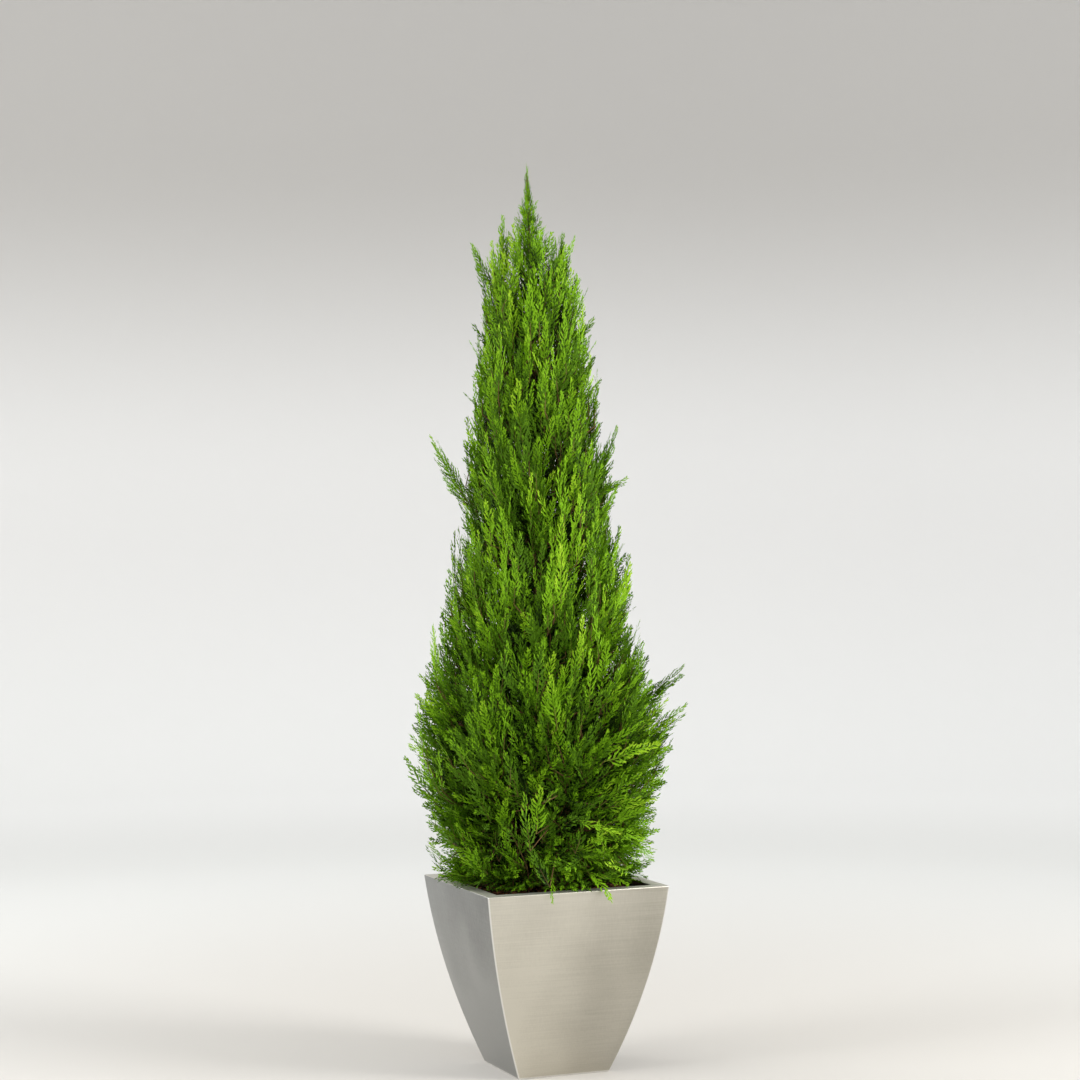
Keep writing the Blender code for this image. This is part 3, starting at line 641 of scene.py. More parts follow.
class Frond:
    """One flat feathery frond along +Y: a rachis with toothed barbs on alternate sides."""

    def __init__(self, length, rng):
        self.length = length
        self.rng = rng
        self.fullness = min(1.0, LEAST_FULLNESS + (1.0 - LEAST_FULLNESS) * length / FULL_FROND)
        self.points = []
        self.faces = []
        self.freshness_and_light = []
        self.wave = rng.uniform(-FROND_WAVE, FROND_WAVE) * length
        self.rachis()
        side = rng.choice((-1, 1))
        along = BARBS_BETWEEN[0] * length
        while along < BARBS_BETWEEN[1] * length:
            side = -side
            self.barb(along, side)
            along += BARB_SPACING * (1.0 - BARB_CROWDING * along / length) * rng.uniform(*EVEN)
        start, last = (share * length for share in TIP_TOOTH)
        self.blade(self.axis(start), Vector((0.0, 1.0, 0.0)), Vector((1.0, 0.0, 0.0)), last, 1.0)
        self.points = np.array([tuple(point) for point in self.points])
        self.faces = np.array(self.faces)
        self.freshness_and_light = np.array(self.freshness_and_light)

    def axis(self, along):
        share = along / self.length
        return Vector((self.wave * math.sin(3.0 * math.pi * share), along, 0.0))

    def add_face(self, corners, fresh_and_lit):
        start = len(self.points)
        self.points.extend(corners)
        for at in range(1, len(corners) - 1):
            self.faces.append((start, start + at, start + at + 1))
            self.freshness_and_light.append(fresh_and_lit)

    def rachis(self):
        def edge(step):
            share = step / RACHIS_STEPS
            half = Vector((RACHIS_WIDTH * (1.0 - RACHIS_TAPER * share) / 2.0, 0.0, 0.0))
            return self.axis(self.length * share), half

        for step in range(RACHIS_STEPS):
            (low, near), (high, far) = edge(step), edge(step + 1)
            fresh_and_lit = RACHIS_FRESH_AND_LIT[0] + RACHIS_FRESH_AND_LIT[1] * step / RACHIS_STEPS
            self.add_face((low - near, low + near, high + far, high - far), fresh_and_lit)

    def barb(self, along, side):
        """A barb that leaves the rachis steeply and curves along it, with teeth on both sides."""
        share = along / self.length
        rng = self.rng
        outline = min(1.0, OUTLINE_FOOT + OUTLINE_RISE * share)
        outline *= 1.0 - OUTLINE_FALL * share ** OUTLINE_POWER
        length = BARB_LENGTH * self.fullness * outline * rng.uniform(*BARB_LENGTHS)
        angle = BARB_ANGLE * (1.0 - BARB_CLOSING * share) * rng.uniform(*BARB_ANGLES)
        lift = rng.gauss(BARB_LIFT, BARB_SPREAD)
        flat = Vector((side * math.sin(angle), math.cos(angle), 0.0))
        first = (flat * math.cos(lift) + UP * math.sin(lift)).normalized()
        last = first.lerp(Vector((0.0, 1.0, 0.0)), BARB_CURL).normalized()
        plane = first.cross(UP).normalized()
        plane = (plane + UP * rng.uniform(-BARB_TWIST, BARB_TWIST)).normalized()
        root = self.axis(along)
        elbow = root + first * (BARB_ELBOW * length)
        end = elbow + last * ((1.0 - BARB_ELBOW) * length)
        half = plane * (BARB_WIDTH * between(THINNEST_BARB, 1.0, outline) / 2.0)
        fresh_and_lit = BARB_FRESH_AND_LIT[0] + BARB_FRESH_AND_LIT[1] * share
        self.add_face((root, elbow + half, elbow - half), fresh_and_lit)
        self.add_face((elbow + half, end, elbow - half), fresh_and_lit + BARB_FRESH_AND_LIT[2])
        count = int(length / TOOTH_SPACING)
        for step in range(count):
            at = (step + TOOTH_ENDS[0]) / (count + TOOTH_ENDS[1])
            if at < BARB_ELBOW:
                place = root.lerp(elbow, at / BARB_ELBOW)
            else:
                place = elbow.lerp(end, (at - BARB_ELBOW) / (1.0 - BARB_ELBOW))
            here = first.lerp(last, at)
            turn = TOOTH_ANGLE * rng.uniform(*TOOTH_ANGLES) * (-1) ** step
            way = (here * math.cos(turn) + plane * math.sin(turn)).normalized()
            size = (1.0 - TOOTH_SHRINKING * at) * rng.uniform(*EVEN)
            size *= between(SMALLEST_TOOTH, 1.0, outline)
            across = plane - way * plane.dot(way)
            self.blade(place, way, across, TOOTH_LENGTH * size, fresh_and_lit + TOOTH_FRESH_AND_LIT * at)

    def blade(self, root, way, across, length, fresh_and_lit):
        """A tooth: a kite folded along its middle."""
        half = across.normalized() * (TOOTH_WIDTH / 2.0)
        fold = way.cross(half).normalized() * (KITE_FOLD * TOOTH_WIDTH)
        middle = root + way * (KITE_MIDDLE * length) - fold
        self.add_face((root, middle + half, root + way * length, middle - half), fresh_and_lit)


# ---- dealing fronds out to pieces

BOX_MARGIN = 0.006  # of fronds beyond the box of the solids
LEAST_KEPT = 0.3  # of a frond's length where it is drawn in to stay in the box
WIDTHS = (0.85, 1.12)
FLATTER = 0.15  # how much less than its width a narrow frond's relief shrinks
PIECE_TRIANGLES = 180000  # most in one piece


class Foliage:
    """Deals fronds out to one joined mesh for each shade of green."""

    def __init__(self, box):
        self.low = np.array(box[0]) - BOX_MARGIN
        self.high = np.array(box[1]) + BOX_MARGIN
        self.rng = random.Random(FRONDS_SEED)
        self.kinds = [
            [Frond(length, self.rng) for _ in range(FROND_KINDS)] for length in FROND_LENGTHS
        ]
        self.by_shade = [[] for _ in SHADES]

    def held_in(self, root, points):
        """The points drawn in towards the root where they would leave the plant's box."""
        over = np.maximum(points.max(axis=0) - root, 1e-9)
        under = np.maximum(root - points.min(axis=0), 1e-9)
        share = min(1.0, ((self.high - root) / over).min(), ((root - self.low) / under).min())
        return root + (points - root) * max(share, LEAST_KEPT)

    def add(self, root, way, normal, length, bend, brightness, width=1.0):
        """A frond from root along way, its flat side along normal, its end moved by the vector bend."""
        size = min(range(len(FROND_LENGTHS)), key=lambda at: abs(FROND_LENGTHS[at] - length))
        frond = self.rng.choice(self.kinds[size])
        across = way.cross(normal).normalized()
        out = across.cross(way).normalized()
        turn = np.array((tuple(across), tuple(way), tuple(out)))
        sizes = (width * self.rng.uniform(*WIDTHS), length / frond.length, min(1.0, width + FLATTER))
        points = frond.points * sizes
        share = points[:, 1:2] / length
        start = np.array(tuple(root))
        placed = self.held_in(start, start + points @ turn + np.array(tuple(bend)) * share * share)
        # painted light and shade: the frond's brightness, then fresher growth and painted light towards
        # its tip
        tone = min(brightness, BRIGHTEST) + TIP_TONE * frond.freshness_and_light
        shades = np.clip(np.floor(tone), 0, len(SHADES) - 1).astype(int)
        for shade in np.unique(shades):
            faces = frond.faces[shades == shade]
            used, renumbered = np.unique(faces, return_inverse=True)
            self.by_shade[shade].append((placed[used], renumbered.reshape(faces.shape)))

    def make_pieces(self, materials, nodes):
        made = []
        for (name, _), material, meshes in zip(SHADES, materials, self.by_shade):
            piles, faces = [Joined()], 0
            for points, triangles in meshes:
                faces += len(triangles)
                if faces > PIECE_TRIANGLES:
                    piles.append(Joined())
                    faces = len(triangles)
                piles[-1].add(points, triangles)
            made += [pile.make(f"leaves_{name}_{part}", material)
                     for part, pile in enumerate(piles, 1) if pile.count]
        for piece in made:
            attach(piece, BODY)
        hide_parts(*nodes)
        return made


# ---- directions in the crown

FROND_MARGIN = 0.004  # between the ends of fronds and the crown's outline
ENDS_ABOVE_RIM = 0.006  # least height of the ends of fronds


def perpendicular(way, angle):
    """A unit vector square to way, turned about it by angle."""
    side = way.orthogonal().normalized()
    return Matrix.Rotation(angle, 3, way) @ side


def facing_out(way, place, turn):
    """The normal of a frond along way whose face looks out of the crown, turned by an angle."""
    outward = place - trunk_axis(place.z)
    outward.z = 0.0
    normal = outward - way * outward.dot(way)
    if normal.length < 1e-6:
        normal = way.orthogonal()
    return Matrix.Rotation(turn, 3, way) @ normal.normalized()


def kept_inside(root, way, length, reach):
    """A frond's direction, turned up and in where its end would leave the crown or dip into the pot."""
    end = root + way * length
    axis = trunk_axis(end.z)
    out = (end - axis).xy.length
    limit = max(reach, crown_radius(end.z)) - FROND_MARGIN
    if out > limit:
        end = axis + (end - axis) * (limit / out)
    end.z = max(end.z, POT_HEIGHT + ENDS_ABOVE_RIM)
    return (end - root).normalized()


# ---- plumes

FACE_SPREAD = 0.6  # how far a frond's face turns away from the outside
OVERREACH = 1.05  # of a plume's main frond, whose end is finer than the solid's
PLUME_SAG = 0.10
PLUME_TONE, PLUME_TONES = 0.9, (-0.5, 0.5)
PLUME_TWIG_END = 0.3  # how far the twig runs on into the frond
PLUME_TWIG_STATIONS, PLUME_TWIG_SIDES = 6, 5
PLUME_TWIG_TIP = 0.0007
END_BEND = 0.15  # of the main frond, as a share of the sag
SIDES_BETWEEN = (0.25, 0.50)  # side fronds, from this share of the twig to this share of the blade
SIDE_SPACING = 0.020
SIDE_ANGLE = math.radians(26.0)
SIDE_ANGLES = (0.7, 1.35)
SIDE_LENGTH = (0.60, 0.92)  # as shares of the plume's main frond
SIDE_MOST = 0.92  # of the way that is left to the plume's end
SIDE_BEND = 0.35
SIDE_TONE = 1.8  # painted shade: darker at the plume's root, deep in the crown
SIDE_TONES = (-0.4, 0.4)
SIDE_EXPOSED = 0.6  # share of a side frond's length where its exposure is read for painted light
SIDE_EXPOSED_TONE = -0.3
WHIP_NARROWING = 0.72
WHIP_CLOSING = 0.42  # of the angle of side fronds on a whip
LEADER_WIDTH = ((1.74, 0.80), (1.79, 0.60), (1.83, 0.34), (1.85, 0.28), (1.865, 0.44))
LEADER_WHIP = 1.815  # height above which the leader is a single thin whip
WHIP_STRAIGHTENING = 0.9  # how far the leader's whip bends back to the trunk's line
LEADER_SIDES = 3
LEADER_SIDE_ANGLE = 0.30
LEADER_SIDE_STARTS = (0.4, 0.3)  # share of the twig at the first, and on to each next
LEADER_SIDE_LENGTH = 0.75
LEADER_SIDE_TONE = -0.4
LEADER_SIDE_BEND = 0.1


class Plume:
    """The sagging line of a spray, from its twig's root to the end of its blade."""

    def __init__(self, spray):
        self.spray = spray
        self.total = spray.twig + spray.length
        self.sag = (UP - spray.along * UP.dot(spray.along)) * (PLUME_SAG * self.total)

    def point(self, at):
        share = at / self.total
        return self.spray.root + self.spray.along * at + self.sag * (share * share - share)

    def way(self, at):
        turned = self.sag * ((2.0 * at / self.total - 1.0) / self.total)
        return (self.spray.along + turned).normalized()


def add_leader_sides(foliage, plume, brightness, width):
    spray = plume.spray
    for place in range(LEADER_SIDES):
        leaning = perpendicular(spray.along, place * GOLDEN_ANGLE) * LEADER_SIDE_ANGLE
        out = (spray.along + leaning).normalized()
        start = plume.point(spray.twig * (LEADER_SIDE_STARTS[0] + LEADER_SIDE_STARTS[1] * place))
        face = facing_out(out, start, 0.0)
        foliage.add(start, out, face, LEADER_SIDE_LENGTH * spray.length, plume.sag * LEADER_SIDE_BEND,
                    brightness + LEADER_SIDE_TONE, width)


def add_sides(foliage, plume, brightness, width, closing):
    """Side fronds that leave a plume all round: painted shade towards its root, painted light at the
    outside.
    """
    rng = foliage.rng
    spray = plume.spray
    reach = (spray.end - trunk_axis(spray.end.z)).xy.length
    at = SIDES_BETWEEN[0] * spray.twig
    turn = rng.uniform(0.0, 2.0 * math.pi)
    while at < spray.twig + SIDES_BETWEEN[1] * spray.length:
        turn += GOLDEN_ANGLE
        root, here = plume.point(at), plume.way(at)
        length = min(spray.length * rng.uniform(*SIDE_LENGTH), SIDE_MOST * (plume.total - at))
        angle = SIDE_ANGLE * rng.uniform(*SIDE_ANGLES) * closing
        out = (here * math.cos(angle) + perpendicular(here, turn) * math.sin(angle)).normalized()
        out = kept_inside(root, out, length, reach)
        bend = (here - out * here.dot(out)) * (SIDE_BEND * length)
        face = facing_out(out, root, rng.gauss(0.0, FACE_SPREAD))
        # painted shade towards the plume's root, painted light where the frond reaches the outside
        tone = brightness - SIDE_TONE * (1.0 - at / plume.total) + rng.uniform(*SIDE_TONES)
        tone = max(tone, exposure(root + out * (SIDE_EXPOSED * length)) + SIDE_EXPOSED_TONE)
        foliage.add(root, out, face, length, bend, tone, width)
        at += SIDE_SPACING * rng.uniform(*EVEN)


def dress_spray(foliage, twigs, spray):
    """A plume: a twig, the main frond at its end, and side fronds."""
    plume = Plume(spray)
    stations = np.linspace(0.0, spray.twig + PLUME_TWIG_END * spray.length, PLUME_TWIG_STATIONS)
    radii = np.interp(stations, (0.0, stations[-1]), (spray.root_radius, PLUME_TWIG_TIP))
    twigs.add(*tube([plume.point(at) for at in stations], radii, PLUME_TWIG_SIDES))
    base = plume.point(spray.twig)
    on_leader = spray.tip.scale <= LEADER_SPRAY_SCALE
    is_tip = on_leader and base.z > LEADER_WHIP
    width, closing = (WHIP_NARROWING, WHIP_CLOSING) if spray.tip.scale == WHIP_SCALE else (1.0, 1.0)
    if on_leader:
        width = read_off(LEADER_WIDTH, base.z)
    bend = plume.sag * END_BEND
    if is_tip:
        bend = (trunk_axis(spray.end.z) - spray.end) * WHIP_STRAIGHTENING
    # painted light high in the crown and painted shade at its foot, through daylight
    brightness = PLUME_TONE + foliage.rng.uniform(*PLUME_TONES) + daylight(spray.tip.height)
    ahead = plume.way(spray.twig + 0.5 * spray.length)
    foliage.add(base, ahead, spray.turn.col[2], OVERREACH * spray.length, bend, brightness, width)
    if not on_leader:
        add_sides(foliage, plume, brightness, width, closing)
    elif not is_tip:
        add_leader_sides(foliage, plume, brightness, width)


# ---- fronds inside the crown

INNER_FRONDS = 40  # on each limb's stem
INNER_LENGTH = (0.080, 0.140)
INNER_BETWEEN = (0.10, 0.84)  # the first one's share of the limb, and the shares that they take up
INNER_ANGLE = 0.8  # of the stem's way against the way square to it
INNER_BEND = 0.3
INNER_TONES = (-0.9, 1.7)  # painted shade in the dark, and painted light gained by exposure
INNER_EXPOSED = 0.8  # share of a frond's length where its exposure is read
INNER_STEP = 0.02  # share of the limb over which its way is read
INNER_STATIONS, INNER_SIDES = 14, 7
LEADER_THINNING = 0.6


def dress_stem(foliage, twigs, limb):
    """The limb within its mass, with fronds all round it painted dark as shade."""
    rng = foliage.rng
    shares = np.linspace(limb.mass_start, 1.0, INNER_STATIONS)
    on_leader = limb.mass_name.endswith("leader")
    thinning = LEADER_THINNING if on_leader else 0.0
    radii = [limb.radius(share) * (1.0 - thinning * share) for share in shares]
    twigs.add(*tube(limb.line(shares), radii, INNER_SIDES))
    if on_leader:
        return
    for place in range(INNER_FRONDS):
        share = INNER_BETWEEN[0] + INNER_BETWEEN[1] * (place + 0.5) / INNER_FRONDS
        root = limb.point(share)
        ahead, behind = limb.point(min(1.0, share + INNER_STEP)), limb.point(share - INNER_STEP)
        here = (ahead - behind).normalized()
        out = (here * INNER_ANGLE + perpendicular(here, place * GOLDEN_ANGLE)).normalized()
        length = rng.uniform(*INNER_LENGTH)
        out = kept_inside(root, out, length, 0.0)
        # painted shade inside the crown, lighter towards its outside as painted light
        tone = INNER_TONES[0] + INNER_TONES[1] * exposure(root + out * (INNER_EXPOSED * length))
        face = facing_out(out, root, rng.gauss(0.0, 1.0))
        foliage.add(root, out, face, length, UP * (INNER_BEND * length), tone)


# ---- clumps of fronds outside

WOOD_STATIONS, WOOD_START = 12, 0.25  # places on a stem that finer twigs may leave
WOOD_SHARES = (0.3, 0.6, 0.9)  # and on a spray's twig
CLUMPS = 150  # that the outer fronds gather into
CLUMP_TALL = 2.2  # times as tall as wide
CLUMP_WIDTH = 0.050
CLUMP_TURN, CLUMP_RISE = 0.12, 0.020  # how far they stray from an even spread
CLUMP_PULL = (0.36, 0.10)  # of its fronds' feet and tips towards its middle
CLUMP_DEPTH = 0.035
CLUMP_TONE = 0.25
OUTER_FRONDS = 1500  # evenly over the crown, on fine twigs between the plumes
OUTER_LENGTH = (0.085, 0.130)
SHORTEST_OUTER, FULL_WIDTH = 0.5, 0.2  # shorter where the crown is narrow
OUTER_DEPTH = (0.84, 1.06)
DEEPEST = 1.09  # furthest out, in crown radii, with what the clump adds
FOOT_SPREAD = (0.56, 0.15)  # height under which they reach further out, and how much at most
LEAN_FREEDOM = (13.0, 19.0)  # degrees, from LOOSE_BELOW up and at the foot
SWING_FREEDOM = (0.42, 0.60)
WIDEST_SWING = 0.95
LEAST_LEAN = 3.0  # degrees; none lean in over the crown
OPEN_SIDE = math.radians(-35.0)  # where the foot of the crown spreads most
OPEN_LEAN = 34.0
OUTER_TONE, OUTER_TONES = 1.1, (-0.6, 0.6)
DEPTH_TONE, USUAL_DEPTH = 6.0, 0.985  # painted light: lighter further out than the usual depth
EDGE_TONE = 0.6  # painted shade: darker at the edge of a clump, between clumps
OUTER_BEND = 0.06
OUTER_ABOVE_RIM = 0.010
ROOT_BELOW = 0.04  # a frond's start, where its twig leaves the wood
FineTwig = namedtuple("FineTwig", "radii sides bow reach")  # reach: how far it runs on into the frond
OUTER_TWIG = FineTwig((0.0016, 0.0013, 0.0010, 0.0005), 4, 0.12, 0.4)


def wood_tree(limbs):
    """A tree of places on the stems and twigs that finer twigs may leave."""
    places = []
    for limb in limbs[:-1]:
        places += limb.line(np.linspace(WOOD_START, 1.0, WOOD_STATIONS))
        for spray in limb.sprays:
            places += [spray.root + spray.along * spray.twig * share for share in WOOD_SHARES]
    tree = KDTree(len(places))
    for at, place in enumerate(places):
        tree.insert(place, at)
    tree.balance()
    return tree


def add_fine_twig(twigs, kind, root, start, end, bowing):
    """A fine twig that bows out from the wood to a frond's start."""
    bow = root.lerp(start, 0.5) + bowing * (kind.bow * (start - root).length)
    twigs.add(*tube([root, bow, start, start.lerp(end, kind.reach)], kind.radii, kind.sides))


class Clumps:
    """Places over the crown that the outer fronds gather round, each of its own depth and tone."""

    def __init__(self, rng):
        self.clumps = []
        self.tree = KDTree(CLUMPS)
        for azimuth, height, radius in spiral(CLUMPS):
            middle = crown_place(azimuth + rng.gauss(0.0, CLUMP_TURN), height, radius)
            middle.z += rng.gauss(0.0, CLUMP_RISE)
            self.clumps.append((middle, rng.gauss(0.0, CLUMP_DEPTH), rng.gauss(0.0, CLUMP_TONE)))
            self.tree.insert(self.squashed(middle), len(self.clumps) - 1)
        self.tree.balance()

    @staticmethod
    def squashed(place):
        return Vector((place.x, place.y, place.z / CLUMP_TALL))

    def nearest(self, place):
        """The nearest clump's middle, depth and tone, and how far from its middle the place is."""
        _, at, distance = self.tree.find(self.squashed(place))
        return (*self.clumps[at], min(1.0, distance / CLUMP_WIDTH))


def outer_lean(rng, azimuth, height):
    """A frond's lean and how far it swings sideways, freer towards the foot of the crown."""
    loose = share_below(height, LOOSE_BELOW)
    swing = rng.gauss(0.0, between(*SWING_FREEDOM, loose))
    swing = max(-WIDEST_SWING, min(WIDEST_SWING, swing))
    opened = OPEN_LEAN * loose * max(0.0, math.cos(azimuth - OPEN_SIDE))
    lean = read_off(SPRAY_LEAN, height) + opened + rng.gauss(0.0, between(*LEAN_FREEDOM, loose))
    return math.radians(max(LEAST_LEAN, lean)), swing


def dress_outside(foliage, twigs, limbs):
    """Single fronds between the plumes, spread over the crown in clumps."""
    rng = foliage.rng
    wood = wood_tree(limbs)
    clumps = Clumps(rng)
    for azimuth, height, radius in spiral(OUTER_FRONDS):
        place = crown_place(azimuth, height, radius)
        clump, clump_depth, clump_tone, edge = clumps.nearest(place)
        depth = min(DEEPEST, rng.uniform(*OUTER_DEPTH) + clump_depth)
        depth += FOOT_SPREAD[1] * share_below(height, FOOT_SPREAD[0])
        lean, swing = outer_lean(rng, azimuth, height)
        length = rng.uniform(*OUTER_LENGTH) * min(1.0, SHORTEST_OUTER + radius / FULL_WIDTH)
        end = trunk_axis(height) + radial(azimuth) * radius * depth
        start = end - aim(azimuth + swing, lean) * length
        pull = clump - place
        pull.z = 0.0
        start += pull * CLUMP_PULL[0]
        end += pull * CLUMP_PULL[1]
        start.z = max(start.z, POT_HEIGHT + OUTER_ABOVE_RIM)
        root, _, _ = wood.find(start - UP * ROOT_BELOW)
        add_fine_twig(twigs, OUTER_TWIG, root, start, end, radial(azimuth))
        way = (end - start).normalized()
        face = facing_out(way, start, rng.gauss(0.0, FACE_SPREAD))
        # painted light further out and high up, painted shade at the edges of clumps and at the foot
        tone = OUTER_TONE + DEPTH_TONE * (depth - USUAL_DEPTH) + daylight(height)
        tone += clump_tone - EDGE_TONE * edge ** 2 + rng.uniform(*OUTER_TONES)
        foliage.add(start, way, face, length, UP * (OUTER_BEND * length), tone)


# ---- the leader, the rim and the foot

LEADER_FRONDS = 46
LEADER_CONE = ((1.745, 0.066), (1.768, 0.040), (1.789, 0.026), (1.830, 0.010), (1.880, 0.002))
LEADER_CROWDING = 1.25
LEADER_FROND_LENGTH, LEADER_SHORTENING = 0.080, 0.045
LEADER_ROOT_BELOW, LEADER_ROOT_OUT = 0.9, 0.25  # shares of a frond's length and of the cone's radius
LEADER_TONES = (0.4, 1.3)
HANGING = ((-77.0, 0.152, 1.30), (-107.0, 0.146, 0.60))  # azimuth, start and width of fronds over the rim
HANGING_LENGTH = 0.095
HANGING_ABOVE = 0.031  # the rim, where they start
HANGING_DROOP, HANGING_BACK = 0.050, 0.012
HANGING_TONE = 1.5
HANGING_TWIG = (0.03, 0.44)  # how far out and how high its twig starts
HANGING_TWIG_REACH = 0.03
HANGING_TWIG_RADII, HANGING_TWIG_SIDES = (0.0016, 0.0011, 0.0006), 5
SKIRT_FRONDS = 310  # low round the foot of the crown, down to the rim
SKIRT_RADIUS = (0.075, 0.234)
SKIRT_CROWDING = 0.4  # below 1 puts more of them at the outside
SKIRT_HEIGHT = (0.400, 0.465)
SKIRT_FALL = 0.020  # how much lower the outermost stay
SKIRT_LEAN = (62.0, 98.0)
SKIRT_LENGTH = (0.060, 0.105)
SKIRT_ABOVE_RIM, SKIRT_CLEAR = 0.008, 0.005  # of their starts, and of their tips
SKIRT_DROOP = (-0.35, 1.0)
SKIRT_TONES = (-0.3, 1.2)
SKIRT_ROOTS = (0.15, 0.9, 16)  # shares of a limb that their twigs may leave, and how many places
SKIRT_TWIG = FineTwig((0.0018, 0.0015, 0.0011, 0.0006), 5, 0.1, 0.3)
SKIRT_FACE = (0.3, 0.5)  # how far they look up, and how much that varies


def dress_leader(foliage):
    """Short fronds up the leader that close the crown in to its tip."""
    rng = foliage.rng
    for place in range(LEADER_FRONDS):
        up = ((place + 0.5) / LEADER_FRONDS) ** LEADER_CROWDING
        height = between(LEADER_CONE[0][0], LEADER_CONE[-1][0], up)
        azimuth = place * GOLDEN_ANGLE
        radius = read_off(LEADER_CONE, height)
        length = LEADER_FROND_LENGTH - LEADER_SHORTENING * up
        end = crown_place(azimuth, height, radius)
        start = crown_place(azimuth, height - LEADER_ROOT_BELOW * length, LEADER_ROOT_OUT * radius)
        way = (end - start).normalized()
        face = facing_out(way, end, rng.gauss(0.0, FACE_SPREAD))
        width = read_off(LEADER_WIDTH, start.z)
        foliage.add(start, way, face, length, Vector(), rng.uniform(*LEADER_TONES), width)


def dress_rim(foliage, twigs):
    """A few fronds that hang over the planter's front rim."""
    for azimuth, out, width in HANGING:
        way = radial(math.radians(azimuth))
        root = way * HANGING_TWIG[0] + UP * HANGING_TWIG[1]
        start = way * out + UP * (POT_HEIGHT + HANGING_ABOVE)
        line = [root, start, start + way * HANGING_TWIG_REACH]
        twigs.add(*tube(line, HANGING_TWIG_RADII, HANGING_TWIG_SIDES))
        bend = way * -HANGING_BACK - UP * HANGING_DROOP
        foliage.add(start, way, UP, HANGING_LENGTH, bend, HANGING_TONE, width)


def dress_foot(foliage, twigs, limbs):
    """Low fronds on fine twigs from the nearest limbs, which hide the foot and reach out to the rim."""
    rng = foliage.rng
    for place in range(SKIRT_FRONDS):
        azimuth = place * GOLDEN_ANGLE
        share = ((place + 0.5) / SKIRT_FRONDS) ** SKIRT_CROWDING
        radius = between(*SKIRT_RADIUS, share)
        height = rng.uniform(SKIRT_HEIGHT[0], SKIRT_HEIGHT[1] - SKIRT_FALL * share)
        length = rng.uniform(*SKIRT_LENGTH)
        lean = math.radians(rng.uniform(*SKIRT_LEAN))
        end = crown_place(azimuth, height, radius)
        start = end - aim(azimuth, lean) * length
        start.z = max(start.z, POT_HEIGHT + SKIRT_ABOVE_RIM)
        limb = min(limbs[:-1], key=lambda limb: (limb.point(limb.mass_start) - start).length)
        root = min(limb.line(np.linspace(*SKIRT_ROOTS)), key=lambda point: (point - start).length)
        add_fine_twig(twigs, SKIRT_TWIG, root, start, end, UP)
        way = (end - start).normalized()
        face = facing_out(way, start + UP * SKIRT_FACE[0], rng.gauss(0.0, SKIRT_FACE[1]))
        droop = rng.uniform(*SKIRT_DROOP) * (end.z - POT_HEIGHT - SKIRT_CLEAR)
        foliage.add(start, way, face, length, UP * -droop, rng.uniform(*SKIRT_TONES))


# ---- bark

WIDE_RIDGES, FINE_RIDGES = (3.0, 9.0), (9.0, 26.0)  # round the limb, and along it
RIDGE_SHARE, KNOT_SHARE = 0.07, 0.05  # of the radius
RIDGE_SHARPNESS = 2.2
BARK_INSET = 0.05  # brings the relief's middle back onto the solid's surface
ROOT_LOBES, LOBE_TURN, LOBE_RINGS = 5.0, 0.6, 4.0
TRUNK_LOBES = 0.10
TRUNK_SUNK = 0.004  # below the top of the mound
TRUNK_STATIONS, TRUNK_SIDES, TRUNK_CROWDING = 150, 30, 1.15
BOUGH_START, BOUGH_STATIONS, BOUGH_SIDES = 0.03, 18, 14


def bark_relief(point, turn, radius):
    """How far the bark stands out: long fissures that run along the limb, and small knots."""
    wide, fine = (
        noise.noise(Vector((size * math.cos(turn), size * math.sin(turn), along * point.z)))
        for size, along in (WIDE_RIDGES, FINE_RIDGES)
    )
    return radius * (RIDGE_SHARE * (1.0 - abs(wide) * RIDGE_SHARPNESS) + KNOT_SHARE * fine)


def relief_tube(joined, points, radii, sides, lobes=0.0):
    """A limb with bark relief, and root lobes that fade upwards where lobes is given."""
    placed, faces = tube(points, radii, sides)
    for at, point in enumerate(placed):
        ring, side = divmod(at, sides)
        centre = Vector(points[ring])
        turn = 2.0 * math.pi * side / sides
        outward = (Vector(point) - centre).normalized()
        out = bark_relief(centre, turn, radii[ring]) - BARK_INSET * radii[ring]
        lobe = max(0.0, math.cos(ROOT_LOBES * turn + LOBE_TURN)) * math.exp(-ring / LOBE_RINGS)
        placed[at] = np.array(point) + np.array(tuple(outward)) * (out + lobes * radii[ring] * lobe)
    joined.add(placed, faces)


def make_trunk(material):
    joined = Joined()
    rise = np.linspace(0.0, 1.0, TRUNK_STATIONS) ** TRUNK_CROWDING
    heights = between(MOUND_TOP - TRUNK_SUNK, TRUNK_TOP, rise)
    radii = [trunk_radius(max(height, MOUND_TOP)) for height in heights]
    relief_tube(joined, [trunk_axis(height) for height in heights], radii, TRUNK_SIDES, TRUNK_LOBES)
    return joined.make("trunk_bark", material, smooth=True)


def make_boughs(limbs, material):
    joined = Joined()
    for limb in limbs:
        if limb.bough_name:
            shares = np.linspace(BOUGH_START, limb.mass_start, BOUGH_STATIONS)
            relief_tube(joined, limb.line(shares), [limb.radius(share) for share in shares], BOUGH_SIDES)
    return joined.make("bough_bark", material, smooth=True)


# ---- soil and mulch

